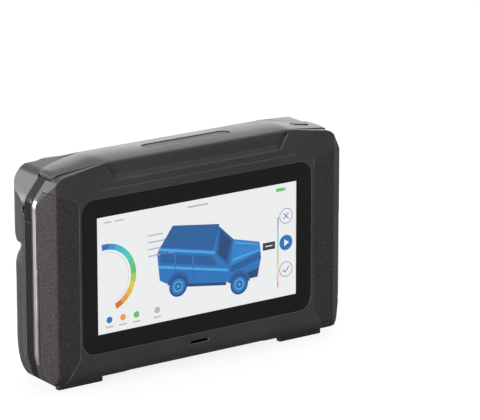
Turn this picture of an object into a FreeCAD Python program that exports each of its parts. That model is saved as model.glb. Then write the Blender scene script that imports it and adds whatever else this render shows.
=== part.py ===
import FreeCAD, Part
import Sketcher
import math
import os
import re
from FreeCAD import Rotation, Vector

# Handheld all-in-one 3-D scanner: a touch screen in front, two toed-in camera pods and a
# projector window at the back, a battery handle at each side.
# Every piece is drawn from the centre of the cover glass: X to the right as the screen is read,
# Y into the case, Z up.  Its placement then puts the part's origin under the middle of the case.

doc = FreeCAD.newDocument("Scanner")
sheet = doc.addObject("Spreadsheet::Sheet", "Sizes")

sizes = {
    # case outline, seen from the screen side; the cells in the handles set how low the case reaches
    "halfWidth": 103.6, "topEdge": 65.2, "topFlatHalf": "=halfWidth * 0.5985",
    "shoulderX": "=halfWidth * 0.8880", "shoulderZ": 60.2, "sideTopZ": 46.0, "sideLowZ": -42.0,
    "lowX": "=halfWidth * 0.9653", "lowZ": "=bottomEdge + 4.2", "bottomX": "=halfWidth * 0.9073",
    "bottomEdge": "=cellTopZ - cellLength - cellRoom - rearWall", "archHalf": "=halfWidth * 0.4633",
    "archRise": 1.2, "topRound": 40.0, "shoulderRound": 9.0, "lowRound": 20.0, "bottomRound": 5.0,
    "archRound": 3.0,
    # seams and walls
    "frontSeamY": 11.0, "rearSeamY": 18.5, "seamGap": 0.3, "wall": 2.0, "rearWall": 2.6,
    "bevelX": 9.5, "bevelY": 7.2, "bevelRound": 2.0, "browRound": 0.8, "chinRoundZ": 7.0,
    "chinRoundY": 6.0,
    # scoop and crease above the screen
    "scoopTopZ": 64.0, "scoopLowZ": 54.0, "scoopHalf": "=halfWidth * 0.5985", "scoopLean": 6.5,
    "scoopDepth": 2.0, "scoopSlope": 2.4, "browBack": 4.6, "browLowZ": 47.0, "creaseZ": 50.2,
    "creaseHalf": "=halfWidth * 0.6371", "creaseWidth": 1.3, "creaseDepth": 0.45,
    # screen
    "glassWidth": "=halfWidth * 1.5039", "glassHeight": 88.9, "glassRound": 8.0, "glassThick": 1.1,
    "glassGap": 0.3, "panelWidth": "=halfWidth * 1.3610", "panelHeight": 73.0, "panelThick": 2.2,
    "panelGap": 0.5, "bracketWidth": "=halfWidth * 1.4479", "bracketHeight": 83.0,
    "bracketThick": 1.2, "bracketRound": 4.0, "ribbonWidth": 16.0, "ribbonThick": 0.3,
    "ribbonGap": 0.5,
    # front grips
    "gripX": "=halfWidth * 0.7722", "gripTopZ": 45.0, "gripTopRise": 0.41, "gripLowZ": -45.0,
    "gripLowFall": 1.5, "gripRound": 5.0, "gripThick": 1.2, "gripGap": 0.2, "gripBackY": 7.2,
    "slitFrontY": 5.8, "slitTopZ": 9.0, "slitDepth": 1.6,
    # speaker
    "slotWidth": 12.4, "slotHeight": 2.0, "slotZ": -49.7, "meshThick": 0.4, "speakerWidth": 18.0,
    "speakerHeight": 8.6, "speakerDepth": 4.0,
    # top cover
    "coverHalf": "=halfWidth * 0.8996", "coverFrontY": 1.5, "coverBackY": 27.5, "coverThick": 2.6,
    "coverCrown": 1.1, "crownY": 13.0, "coverGap": 0.3, "coverSeam": 0.7,
    "coverWaistX": "=halfWidth * 0.5985", "coverHipX": "=halfWidth * 0.7529",
    "coverEndFrontY": 6.0, "coverEndBackY": 19.5, "coverEndRound": 2.5, "pillLength": 59.0,
    "pillWidth": 8.5, "pillDepth": 0.5, "pillThick": 1.0, "pillGap": 0.1,
    # power button and its switch
    "buttonX": "=halfWidth * 0.7577", "buttonY": 13.0, "buttonLength": 12.0, "buttonWidth": 5.2,
    "buttonProud": 0.4, "buttonGap": 0.08, "buttonTravel": 0.8, "buttonFlange": 0.8,
    "buttonLip": 0.9, "switchSide": 6.0, "switchHeight": 1.6, "switchBoardLength": 13.0,
    "switchBoardWidth": 6.4, "switchBoardThick": 1.0, "switchGap": 0.1,
    # mid frame
    "frameWall": 3.0, "webThick": 1.4,
    # side door and socket
    "doorZ": 40.2, "doorHeight": 11.4, "doorFrontY": 11.7, "doorBackY": 18.1, "doorThick": 1.6,
    "doorGap": 0.15, "pinRadius": 0.45, "pinGap": 0.04, "pinSeat": 2.0, "notchRadius": 2.4,
    "socketWidth": 8.94, "socketHeight": 3.26, "socketLength": 7.3, "socketWall": 0.3,
    "socketSink": 0.3, "tongueWidth": 6.7, "tongueThick": 0.7, "socketBoardLength": 14.0,
    "socketBoardHeight": 14.6, "socketBoardThick": 1.0,
    # side plug
    "plugRadius": 7.0, "plugY": 18.4, "plugZ": 41.9, "plugThick": 1.4, "plugGap": 0.2,
    # sensor bar
    "barLowZ": 20.0, "barY": 36.5, "barFlatHalf": "=halfWidth * 0.3716",
    "barOutX": "=halfWidth * 0.9392", "barOutY": 39.8, "barSideX": "=halfWidth * 0.9768",
    "barSideY": 32.5, "barFrontX": "=halfWidth", "barFrontY": 21.0, "barRound": 5.0,
    "barSideRound": 10.0, "tipX": "=halfWidth * 0.9653", "tipStartY": 22.0, "tipY": 40.0,
    "tipFlare": 8.0, "tipLowRound": 20.0, "tipTopRound": 24.0, "barTopBackZ": 61.6,
    "plateLowZ": 21.8, "plateThick": 1.2, "plateGap": 0.25, "ventHeight": 1.0, "centreHalf": "=halfWidth * 0.3349",
    "centreRound": 15.55, "eyeZ": 41.7, "centreThick": 1.0, "centreGap": 0.15, "centreLedge": 1.2,
    # camera pods
    "podX": "=halfWidth * 0.6081", "podY": 43.2, "podHalf": "=halfWidth * 0.2558",
    "podRound": 18.1, "podToeIn": 12.7, "podLength": 11.0, "podWall": 1.6, "podGap": 0.8,
    "podSink": 0.25, "podWindowThick": 1.0, "podWindowGap": 0.1,
    "lensOffset": "=podHalf * 0.3094", "barrelRadius": 7.0, "holderRadius": 9.6,
    "holderFront": 4.2, "barrelFront": 1.5, "barrelBore": 5.8, "barrelSink": 4.0, "lensRim": 0.1,
    "lensThick": 2.4, "lensDome": 1.2, "ledCircle": "=podHalf * 0.4887", "ledSide": 3.5,
    "ledThick": 0.6, "ledBoardThick": 1.0, "boardPlay": 0.2, "cameraBoardThick": 1.0,
    "auxOffset": "=podHalf * 0.6151", "auxRadius": 4.0, "tinyOffset": "=podHalf * 0.5472",
    "tinyZ": 9.6, "tinyRadius": 1.5,
    # devices behind the centre window
    "colourX": "=halfWidth * 0.2857", "colourRadius": 3.9, "flashX": "=halfWidth * 0.1226",
    "projectorX": "=halfWidth * -0.2452", "squareSide": 8.2, "squareRound": 2.2,
    "laserX": "=halfWidth * 0.0048", "laserTurnX": "=halfWidth * -0.1120", "laserZ": 5.8,
    "laserRadius": 3.0, "laserFlat": 1.2, "laserTurn": 26.0, "deviceGap": 0.2,
    "benchHalf": "=halfWidth * 0.8108", "benchLowZ": 25.6, "benchTopZ": 57.6, "benchY": 23.4,
    "benchThick": 3.0, "wedgeInset": 4.2, "benchPostX": "=halfWidth * 0.3629",
    "benchPostLowZ": 29.5, "benchPostTopZ": 54.0,
    # back panel and its grille
    "panelY": 33.5, "grilleHalf": 35.7, "grilleTopZ": -8.6, "holeRadius": 1.4, "holeSmall": 0.7,
    "holePitch": 3.4, "grilleRows": 11,
    # handles
    "handleCrestX": "=halfWidth * 0.7625", "handleCrestY": 50.9,
    "handleFootX": "=halfWidth * 0.5550", "padInX": "=halfWidth * 0.6226", "padTopZ": 8.0,
    "padLowZ": "=bottomEdge + 3.6", "padFrontY": 24.0, "padThick": 1.2, "padRound": 9.0,
    "padGap": 0.2,
    # main board and cooling
    "boardHalf": "=halfWidth * 0.5212", "boardLowZ": -50.0, "boardTopZ": 24.0, "boardY": 14.0,
    "pcbThick": 1.6, "boardHoleInset": 4.0, "chipSide": 24.0, "fanZ": -24.0, "chipThick": 1.4,
    "canWidth": 26.0, "canHeight": 20.0, "canThick": 2.6, "canX": "=halfWidth * -0.3475",
    "canZ": 2.0, "sinkWidth": 44.0, "sinkHeight": 40.0, "sinkBase": 1.3, "finHeight": 2.5,
    "finThick": 0.8, "finCount": 12, "fanSide": 40.0, "fanY": 21.1, "fanDepth": 10.0,
    "fanBore": 37.6, "hubRadius": 10.5, "hubSetback": 1.7, "hubPlate": 1.2, "bladeGap": 0.8,
    "bladeCount": 7, "bladeThick": 1.0, "bladePitch": 42.0, "strutWidth": 3.0,
    "shaftRadius": 1.0, "shaftGap": 0.03,
    # batteries
    "cellRadius": 9.2, "cellLength": 65.0, "cellRoom": 2.8, "cellInX": "=halfWidth * 0.7085",
    "cellInY": 34.4, "cellOutX": "=cellInX + 14", "cellOutY": 22.4, "cellTopZ": 10.2,
    "cradleGap": 0.15, "cradleWall": 1.1, "cradleSetback": 6.0,
    # fasteners
    "screwRadius": 1.0, "headRadius": 1.9, "headHeight": 1.3, "screwLength": 5.0,
    "bossRadius": 2.8, "rearBossX": "=halfWidth * 0.5637", "rearBossTopZ": 14.6,
    "rearBossLowZ": -55.0, "frontPostTopX": "=halfWidth * 0.6178", "frontPostTopZ": 53.2,
    "frontPostLowX": "=halfWidth * 0.6371", "frontPostLowZ": -52.0,
    # feet
    "footInX": "=halfWidth * 0.5888", "footOutX": "=halfWidth * 0.8736", "footFrontY": 6.8,
    "footDepth": 3.9, "footHeight": 3.8, "footRound": 0.8, "backFootInX": "=halfWidth * 0.6564",
    "backFootOutX": "=halfWidth * 0.8494", "backFootY": 36.0,
}
for row, (word, value) in enumerate(sizes.items(), 1):
    sheet.set("A%d" % row, word)
    sheet.set("B%d" % row, str(value))
    sheet.setAlias("B%d" % row, word)
doc.recompute()
v = {word: float(sheet.get(word)) for word in sizes}

glassY = -v["handleCrestY"] / 2
glassZ = v["footHeight"] - v["bottomEdge"]
glassPlace = FreeCAD.Placement(Vector(0, glassY, glassZ), Rotation())
bracketY = v["glassThick"] + v["panelThick"]
webY = v["frontSeamY"] + v["seamGap"]
webBack = webY + v["webThick"]
rearY = v["rearSeamY"] + v["seamGap"]
podToe = math.radians(v["podToeIn"])
shoulderFall = v["topEdge"] - v["shoulderZ"]
shoulderSlope = math.degrees(math.atan2(shoulderFall, v["shoulderX"] - v["topFlatHalf"]))
far = 2 * v["halfWidth"]
overrun = 0.02
subParts = []


# ---------------------------------------------------------------- wires and simple solids
def onXZ(y):
    return lambda a, b: Vector(a, y, b)


def onXY(z):
    return lambda a, b: Vector(a, b, z)


def onYZ(x):
    return lambda a, b: Vector(x, a, b)


def roundedWire(corners, put):
    """Closed wire through corners (a, b, radius); the radii become tangent arcs."""
    starts = []
    mids = []
    ends = []
    count = len(corners)
    for i in range(count):
        here = Vector(corners[i][0], corners[i][1], 0)
        before = (Vector(corners[i - 1][0], corners[i - 1][1], 0) - here).normalize()
        after = (Vector(corners[(i + 1) % count][0], corners[(i + 1) % count][1], 0) - here).normalize()
        radius = corners[i][2]
        half = before.getAngle(after) / 2
        if radius <= 0 or half > math.pi / 2 - 1e-5:
            starts.append(here)
            mids.append(None)
            ends.append(here)
            continue
        reach = radius / math.tan(half)
        bisector = (before + after).normalize()
        centre = here + bisector * (radius / math.sin(half))
        starts.append(here + before * reach)
        mids.append(centre - bisector * radius)
        ends.append(here + after * reach)
    edges = []
    for i in range(count):
        lifted = [put(p.x, p.y) if p is not None else None for p in (starts[i], mids[i], ends[i])]
        if mids[i] is not None:
            edges.append(Part.Arc(*lifted).toShape())
        following = starts[(i + 1) % count]
        if ends[i].distanceToPoint(following) > 1e-5:
            edges.append(Part.LineSegment(lifted[2], put(following.x, following.y)).toShape())
    return Part.Wire(edges)


def insetCorners(corners, inset):
    """The same corners with every side of the counter-clockwise outline moved in by `inset`."""
    count = len(corners)
    lines = []
    for i in range(count):
        a = Vector(corners[i][0], corners[i][1], 0)
        b = Vector(corners[(i + 1) % count][0], corners[(i + 1) % count][1], 0)
        along = (b - a).normalize()
        lines.append((a + Vector(-along.y, along.x, 0) * inset, along))
    moved = []
    for i in range(count):
        (p, d), (q, e) = lines[i - 1], lines[i]
        turn = d.x * e.y - d.y * e.x
        reach = ((q.x - p.x) * e.y - (q.y - p.y) * e.x) / turn
        point = p + d * reach
        radius = corners[i][2] - math.copysign(inset, turn)
        moved.append((point.x, point.y, max(radius, 0.05) if corners[i][2] > 0 else 0))
    return moved


def bothSides(rightHalf):
    """Counter-clockwise corners from the right half, given from bottom to top."""
    return rightHalf + [(-a, b, r) for a, b, r in reversed(rightHalf)]


def prism(wire, direction):
    return Part.Face(wire).extrude(direction)


def block(x0, x1, y0, y1, z0, z1):
    return Part.makeBox(x1 - x0, y1 - y0, z1 - z0, Vector(x0, y0, z0))


def rodY(radius, x, y0, y1, z):
    return Part.makeCylinder(radius, y1 - y0, Vector(x, y0, z), Vector(0, 1, 0))


def pillWire(half, radius, put):
    """Stadium of overall half length `half` and end radius `radius`."""
    straight = half - radius
    edges = [Part.LineSegment(put(-straight, -radius), put(straight, -radius)).toShape(),
             Part.Arc(put(straight, -radius), put(half, 0), put(straight, radius)).toShape(),
             Part.LineSegment(put(straight, radius), put(-straight, radius)).toShape(),
             Part.Arc(put(-straight, radius), put(-half, 0), put(-straight, -radius)).toShape()]
    return Part.Wire(edges)


def squareWire(half, radius, put):
    return roundedWire([(half, -half, radius), (half, half, radius), (-half, half, radius),
                        (-half, -half, radius)], put)


def mirrorX(shape):
    return shape.mirror(Vector(0, 0, 0), Vector(1, 0, 0))


def bothHands(shape):
    return shape.fuse(mirrorX(shape))


def screw(x, y, z, direction):
    """Pan-head screw whose head seats at y; `direction` is +1 or -1 along Y, towards its tip."""
    axis = Vector(0, direction, 0)
    head = Part.makeCylinder(v["headRadius"], v["headHeight"], Vector(x, y, z), axis * -1)
    shank = Part.makeCylinder(v["screwRadius"], v["screwLength"], Vector(x, y, z), axis)
    return head.fuse(shank)


# ---------------------------------------------------------------- document objects
def formula(text):
    return re.sub(r"[A-Za-z]\w*", lambda m: ("Sizes." if m.group() in sizes else "") + m.group(), text)


def bind(obj, prop, text):
    obj.setExpression(prop, formula(text))


def place(obj, x, y, z):
    """Puts an object at a point given from the centre of the glass."""
    bind(obj, ".Placement.Base.x", x)
    bind(obj, ".Placement.Base.y", "%s - handleCrestY / 2" % y)
    bind(obj, ".Placement.Base.z", "%s + footHeight - bottomEdge" % z)


def keep(obj, label):
    obj.Label = label
    subParts.append(obj)
    return obj


def addShape(label, shape):
    """Sub-part with a computed shape: the placement follows the shape."""
    part = doc.addObject("Part::Feature", label)
    part.Shape = shape
    part.Placement = glassPlace
    return keep(part, label)


def box(name, x, y, z, width, depth, height):
    """Part::Box from its low corner and its sizes, all of them formulas."""
    obj = doc.addObject("Part::Box", name)
    bind(obj, "Length", width)
    bind(obj, "Width", depth)
    bind(obj, "Height", height)
    place(obj, x, y, z)
    return obj


def cut(name, base, tool):
    obj = doc.addObject("Part::Cut", name)
    obj.Base = base
    obj.Tool = tool
    return obj


def plate(label, width, height, thick, x, y, z, corner=None, window=None):
    """Body of a plate in the XZ plane, `thick` along +Y, centred on x and z.

    window is (width, height, middle in z) of a rectangular opening.
    """
    body = doc.addObject("PartDesign::Body", label)
    base = [f for f in body.Origin.OriginFeatures if f.Role == "XZ_Plane"][0]

    def rectangle(name, wide, tall, offset):
        sketch = body.newObject("Sketcher::SketchObject", name)
        sketch.AttachmentSupport = (base, [""])
        sketch.MapMode = "FlatFace"
        seeds = [Vector(-9, -7, 0), Vector(9, -7, 0), Vector(9, 7, 0), Vector(-9, 7, 0)]
        for i in range(4):
            sketch.addGeometry(Part.LineSegment(seeds[i], seeds[(i + 1) % 4]), False)
        for i in range(4):
            sketch.addConstraint(Sketcher.Constraint("Coincident", i, 2, (i + 1) % 4, 1))
        for i, kind in enumerate(("Horizontal", "Vertical", "Horizontal", "Vertical")):
            sketch.addConstraint(Sketcher.Constraint(kind, i))
        held = [sketch.addConstraint(Sketcher.Constraint("DistanceX", 0, 1, 0, 2, 18)),
                sketch.addConstraint(Sketcher.Constraint("DistanceY", 1, 1, 1, 2, 14)),
                sketch.addConstraint(Sketcher.Constraint("DistanceX", 0, 1, -1, 1, 9)),
                sketch.addConstraint(Sketcher.Constraint("DistanceY", 0, 1, -1, 1, 7))]
        values = (wide, tall, "(%s) / 2" % wide, "(%s) / 2 - (%s)" % (tall, offset))
        for index, text in zip(held, values):
            bind(sketch, "Constraints[%d]" % index, text)
        return sketch

    pad = body.newObject("PartDesign::Pad", label + "Pad")
    pad.Profile = rectangle(label + "Outline", width, height, "0")
    pad.Reversed = True
    bind(pad, "Length", thick)
    doc.recompute()
    last = pad
    if window:
        pocket = body.newObject("PartDesign::Pocket", label + "Window")
        pocket.Profile = rectangle(label + "WindowOutline", *window)
        pocket.Type = "ThroughAll"
        doc.recompute()
        if pocket.Shape.Volume > pad.Shape.Volume - 1:
            raise RuntimeError(label + ": the window removes nothing")
        last = pocket
    if corner:
        rim = last.Shape.BoundBox.XMax
        upright = ["Edge%d" % (i + 1) for i, e in enumerate(last.Shape.Edges)
                   if abs(e.BoundBox.YLength - e.Length) < 1e-6
                   and abs(abs(e.CenterOfMass.x) - rim) < 1e-6]
        fillet = body.newObject("PartDesign::Fillet", label + "Corners")
        fillet.Base = (last, upright)
        bind(fillet, "Radius", corner)
    place(body, x, y, z)
    return keep(body, label)


# ---------------------------------------------------------------- outer forms of the case
archHalf = v["archHalf"]
outline = bothSides([
    (archHalf - v["archRound"], v["bottomEdge"] + v["archRise"], v["archRound"]),
    (archHalf + v["archRound"], v["bottomEdge"], v["archRound"]),
    (v["bottomX"], v["bottomEdge"], v["bottomRound"]),
    (v["lowX"], v["lowZ"], v["bottomRound"]),
    (v["halfWidth"], v["sideLowZ"], v["lowRound"]),
    (v["halfWidth"], v["sideTopZ"], v["shoulderRound"]),
    (v["shoulderX"], v["shoulderZ"], v["shoulderRound"]),
    (v["topFlatHalf"], v["topEdge"], v["topRound"]),
])


def outlinePrism(inset, y0, y1):
    return prism(roundedWire(insetCorners(outline, inset), onXZ(y0)), Vector(0, y1 - y0, 0))


def quarter(centre, across, deep, put):
    """Quarter of an ellipse that leaves the face and turns into the side; `across` may be < 0."""
    points = []
    for i in range(13):
        angle = math.radians(90 - 7.5 * i)
        points.append(put(centre[0] + across * math.cos(angle), centre[1] - deep * math.sin(angle)))
    curve = Part.BSplineCurve()
    curve.interpolate(points)
    return curve.toShape()


def facePlan(inset, back):
    """Plan of the front half: flat face, bevelled edges, straight sides up to `back`."""
    side = v["halfWidth"] + overrun
    corners = bothSides([(v["halfWidth"] - v["bevelX"], 0, v["bevelRound"]),
                         (side, v["bevelY"], v["bevelRound"]), (side, back + inset, 0)])
    wire = roundedWire(insetCorners(corners, inset), onXY(v["bottomEdge"] - 10))
    return prism(wire, Vector(0, 0, far))


def faceSide(inset, back):
    """Side view of the front half: a tight upper edge and a rounded chin."""
    put = onYZ(-far / 2)
    top = v["topEdge"] - inset + overrun
    low = v["bottomEdge"] + inset - overrun
    brow = max(v["browRound"] - inset, 0.05)
    chinZ = v["bottomEdge"] + v["chinRoundZ"]
    chinY = v["chinRoundY"]
    lift = lambda z, y: put(y, z)
    chin = quarter((chinZ, chinY), low - chinZ, chinY - inset, lift)
    corner = top - brow
    edges = [Part.LineSegment(put(inset, chinZ), put(inset, corner)).toShape(),
             Part.Arc(put(inset, corner), put(inset + brow * (1 - math.sqrt(0.5)),
                      corner + brow * math.sqrt(0.5)), put(inset + brow, top)).toShape(),
             Part.LineSegment(put(inset + brow, top), put(back, top)).toShape(),
             Part.LineSegment(put(back, top), put(back, low)).toShape(),
             Part.LineSegment(put(back, low), put(chinY, low)).toShape(), chin]
    return prism(Part.Wire(Part.__sortEdges__(edges)), Vector(far, 0, 0))


def frontForm(inset, back=None):
    back = v["frontSeamY"] if back is None else back
    solid = outlinePrism(inset, -1, back).common(facePlan(inset, back + 1))
    return solid.common(faceSide(inset, back + 1))


def coverPlan(gap):
    """Plan of the top cover, narrowing towards its ends, raised through the whole case."""
    corners = bothSides([
        (v["coverWaistX"], v["coverFrontY"], v["topRound"]),
        (v["coverHalf"], v["coverEndFrontY"], v["coverEndRound"]),
        (v["coverHalf"], v["coverEndBackY"], v["coverEndRound"]),
        (v["coverHipX"], v["coverBackY"], v["topRound"])])
    return prism(roundedWire(insetCorners(corners, -gap), onXY(v["sideTopZ"])), Vector(0, 0, far))


def coverRoom(gap):
    """Everything above the seat of the top cover."""
    return coverPlan(v["coverSeam"]).cut(outlinePrism(v["coverThick"] + gap, 0, v["coverBackY"] + 9))


# plan of the rear shell, right half, from the seam round to the foot of the handle:
# steps inwards from the side and backwards from the seam
def rearPlan(crest):
    """Points (x, y) of the half plan; crest is 1 on the handle and 0 at the waist."""
    side = v["halfWidth"] - 0.2
    seam = v["rearSeamY"]
    foot = v["handleFootX"]
    panel = v["panelY"]
    topX = v["handleCrestX"]
    topY = v["handleCrestY"]
    waist = [(side, seam), (side - 0.5, seam + 4), (side - 2.2, seam + 8), (side - 5.9, panel - 3.2),
             (side - 11.4, panel - 0.9), (topX + 8, panel - 0.1), (topX, panel), (topX - 7.5, panel),
             (foot + 7.5, panel), (foot + 3.5, panel), (foot, panel)]
    handle = [(side, seam), (side - 0.8, seam + 6), (side - 2.8, seam + 13), (side - 5.8, topY - 12.7),
              (side - 9.8, topY - 6.7), (topX + 8.5, topY - 1.9), (topX, topY),
              (topX - 8.5, topY - 1.9), (foot + 6.5, topY - 6.0), (foot + 3.0, topY - 11.2),
              (foot, panel)]
    outer = crest ** 1.6
    shares = [outer] * 5 + [(outer + crest) / 2] + [crest] * 5
    return [(a + (c - a) * t, b + (d - b) * t) for (a, b), (c, d), t in zip(waist, handle, shares)]


def shrunkPlan(points, inset):
    """The half plan moved in by `inset` along its own normals."""
    moved = []
    last = len(points) - 1
    for i, (x, y) in enumerate(points):
        before = points[i - 1] if i else (x, y - 1)
        after = points[i + 1] if i < last else (x - 1, y)
        along = Vector(after[0] - before[0], after[1] - before[1], 0).normalize()
        moved.append((x - along.y * inset, y + along.x * inset))
    return moved


def rearSection(z, crest, inset, roundOff, front):
    """Closed plan section of the rear shell at height z, open towards the mid frame."""
    half = shrunkPlan(rearPlan(crest), inset)
    pulled = shrunkPlan(half, roundOff)
    fade = [1] * 9 + [0.4, 0]
    half = [(a + (c - a) * t, b + (d - b) * t) for (a, b), (c, d), t in zip(half, pulled, fade)]
    right = Part.BSplineCurve()
    right.interpolate(Points=[Vector(x, y, z) for x, y in half], InitialTangent=Vector(0, 1, 0),
                      FinalTangent=Vector(-1, -1.3 * crest, 0))
    right = right.toShape()
    corners = [Vector(-half[0][0], half[0][1], z), Vector(-half[0][0], front, z),
               Vector(half[0][0], front, z), Vector(half[0][0], half[0][1], z)]
    back = [Vector(half[-1][0], half[-1][1], z), Vector(-half[-1][0], half[-1][1], z)]
    lines = [Part.LineSegment(a, b).toShape() for a, b in zip(corners, corners[1:])]
    panel = Part.LineSegment(*back).toShape()
    return Part.Wire(lines + [right, panel, mirrorX(right)])


def rearBody(inset, front):
    """Waist and handles, lofted from the underside up into the sensor bar."""
    low = v["bottomEdge"]
    top = v["padTopZ"]
    levels = [(low, 1, 7.5), (low + 2.5, 1, 4.0), (low + 5.5, 1, 2.2), (low + 11, 1, 0.8),
              (low + 18, 1, 0.1), (low + 30, 1, 0), (low + 44, 1, 0), (top - 10, 1, 0),
              (top - 2, 0.97, 0), (top + 3, 0.8, 0), (top + 7, 0.45, 0), (top + 11, 0.12, 0),
              (top + 16, 0, 0), (top + 22, 0, 0)]
    sections = [rearSection(z, crest, inset, roundOff, front) for z, crest, roundOff in levels]
    return Part.makeLoft(sections, True, False)


def barTip(grown, y):
    """Upright section of the bar, its tips rounded; grown outwards on every side."""
    corners = bothSides([(v["tipX"], v["barLowZ"], v["tipLowRound"]),
                         (v["tipX"], v["topEdge"], v["tipTopRound"])])
    return roundedWire(insetCorners(corners, -grown), onXZ(y))


def barBody(inset, front):
    """Bar behind the sensors: flat in the middle, rising towards its rounded ends."""
    corners = bothSides([
        (v["barFrontX"], front - inset, 0), (v["barFrontX"], v["barFrontY"], v["barSideRound"]),
        (v["barSideX"], v["barSideY"], v["barSideRound"]), (v["barOutX"], v["barOutY"], v["barRound"]),
        (v["barFlatHalf"], v["barY"], 0)])
    wire = roundedWire(insetCorners(corners, inset), onXY(v["barLowZ"] + inset))
    solid = prism(wire, Vector(0, 0, far))
    slope = (v["barTopBackZ"] - v["topEdge"]) / (v["barY"] - v["coverBackY"])
    high = v["topEdge"] - inset * math.hypot(1, slope)
    ends = [(y, high + slope * (y - v["coverBackY"])) for y in (-far, far)]
    roof = [Vector(-far, y, z) for y, z in ends + [(far, 2 * far), (-far, 2 * far)]]
    solid = solid.cut(prism(Part.makePolygon(roof + roof[:1]), Vector(2 * far, 0, 0)))
    lean = v["tipFlare"] / (v["tipY"] - v["tipStartY"])
    sections = [barTip((v["tipY"] - y) * lean - inset * math.hypot(1, lean), y)
                for y in (v["tipStartY"] - 8, v["tipY"] + 8)]
    return solid.common(Part.makeLoft(sections, True, True))


def rearForm(inset, front):
    """Outer form of the rear shell, or its hollow when inset by the wall."""
    solid = rearBody(inset, front).fuse(barBody(inset, front))
    return solid.common(outlinePrism(inset, front - 1, far))


# ---------------------------------------------------------------- camera pods
class Pod:
    """Local frame of one pod: u along its length, w up, n out of its face; hand is +1 or -1 in x."""

    def __init__(self, hand):
        self.along = Vector(-math.cos(podToe), -hand * math.sin(podToe), 0)
        self.out = Vector(-hand * math.sin(podToe), math.cos(podToe), 0)
        self.centre = Vector(hand * v["podX"], v["podY"], v["eyeZ"])

    def point(self, u, w, n):
        return self.centre + self.along * u + Vector(0, 0, w) + self.out * n

    def level(self, n):
        return lambda a, b: self.point(a, b, n)

    def pill(self, inset, n0, n1):
        wire = pillWire(v["podHalf"] - inset, v["podRound"] - inset, self.level(n0))
        return prism(wire, self.out * (n1 - n0))

    def rod(self, radius, u, w, n0, n1):
        return Part.makeCylinder(radius, abs(n1 - n0), self.point(u, w, min(n0, n1)), self.out)


podBack = -v["podLength"]
podInner = v["podWall"] + v["podWindowGap"]
windowFront = -v["podSink"]
windowBack = windowFront - v["podWindowThick"]
boardFront = podBack + v["cameraBoardThick"]
pods = {"left": Pod(-1), "right": Pod(1)}


def lensStack(pod):
    """Barrel with its wider holder, and the domed lens in its mouth."""
    u = v["lensOffset"] * -1
    barrel = pod.rod(v["barrelRadius"], u, 0, -v["barrelFront"], -v["holderFront"])
    barrel = barrel.fuse(pod.rod(v["holderRadius"], u, 0, -v["holderFront"], boardFront))
    barrel = barrel.cut(pod.rod(v["barrelBore"], u, 0, 0, -v["barrelFront"] - v["barrelSink"]))
    lensBack = -v["barrelFront"] - v["barrelSink"]
    radius = v["barrelBore"] - v["lensRim"]
    lens = pod.rod(radius, u, 0, lensBack, lensBack + v["lensThick"])
    ball = (radius ** 2 + v["lensDome"] ** 2) / (2 * v["lensDome"])
    domeBase = lensBack + v["lensThick"] - v["lensDome"]
    dome = Part.makeSphere(ball, pod.point(u, 0, domeBase + v["lensDome"] - ball))
    return barrel, lens.common(dome)


def ledSpots():
    """Places (u, w) of the six lamps round the lens."""
    angles = [math.radians(a) for a in (90, 30, -30, -90, -150, 150)]
    reach = v["ledCircle"]
    return [(reach * math.cos(a) - v["lensOffset"], reach * math.sin(a)) for a in angles]


lamps = []
for side, pod in pods.items():
    bezel = pod.pill(0, podBack, 0).cut(pod.pill(v["podWall"], podBack - 1, 1))
    addShape("pod_bezel_" + side, bezel)
    addShape("pod_window_" + side, pod.pill(podInner, windowBack, windowFront))
    barrel, lens = lensStack(pod)
    addShape("camera_barrel_" + side, barrel)
    addShape("camera_lens_" + side, lens)
    board = pod.pill(v["podWall"] + v["boardPlay"], podBack, boardFront)
    addShape("camera_board_" + side, board)
    ledBack = -v["holderFront"]
    ledTop = ledBack + v["ledBoardThick"]
    ledBoard = pod.pill(v["podWall"] + v["boardPlay"], ledBack, ledTop)
    ledBoard = ledBoard.cut(pod.rod(v["barrelRadius"] + v["boardPlay"], -v["lensOffset"], 0, -9, 0))
    ledBoard = ledBoard.cut(pod.rod(v["auxRadius"] + v["boardPlay"], v["auxOffset"], 0, -9, 0))
    addShape("led_board_" + side, ledBoard)
    half = v["ledSide"] / 2
    corners = ((-half, -half), (half, -half), (half, half), (-half, half), (-half, -half))
    put = pod.level(ledTop)
    for u, w in ledSpots():
        wire = Part.makePolygon([put(u + a, w + b) for a, b in corners])
        lamps.append(prism(wire, pod.out * v["ledThick"]))
    addShape("side_sensor_" + side, pod.rod(v["auxRadius"], v["auxOffset"], 0, boardFront,
                                            -v["barrelFront"]))
addShape("infrared_leds", Part.makeCompound(lamps))
markers = [pod.rod(v["tinyRadius"], v["tinyOffset"], hand * v["tinyZ"], ledTop, -v["barrelFront"])
           for pod in pods.values() for hand in (-1, 1)]
addShape("marker_lamps", Part.makeCompound(markers))
podPockets = [pod.pill(-v["podGap"], podBack - v["podGap"], v["podLength"]) for pod in pods.values()]


# ---------------------------------------------------------------- front shell and its grips
def gripOutline(gap):
    """Grip area of the right side, seen from the screen side, grown by `gap`."""
    outX = v["halfWidth"] + 9
    inX = v["gripX"] - gap
    run = outX - inX
    top = v["gripTopZ"] + gap
    low = v["gripLowZ"] - gap
    return [(inX, low, v["gripRound"]), (inX + run * 0.4, low - run * 0.4 * v["gripLowFall"], 0),
            (outX, low - run * 0.4 * v["gripLowFall"], 0), (outX, top + run * v["gripTopRise"], 0),
            (inX, top, v["gripRound"])]


def gripBlock(gap):
    wire = roundedWire(gripOutline(gap), onXZ(-1))
    return prism(wire, Vector(0, v["gripBackY"] + gap + 1, 0))


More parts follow.
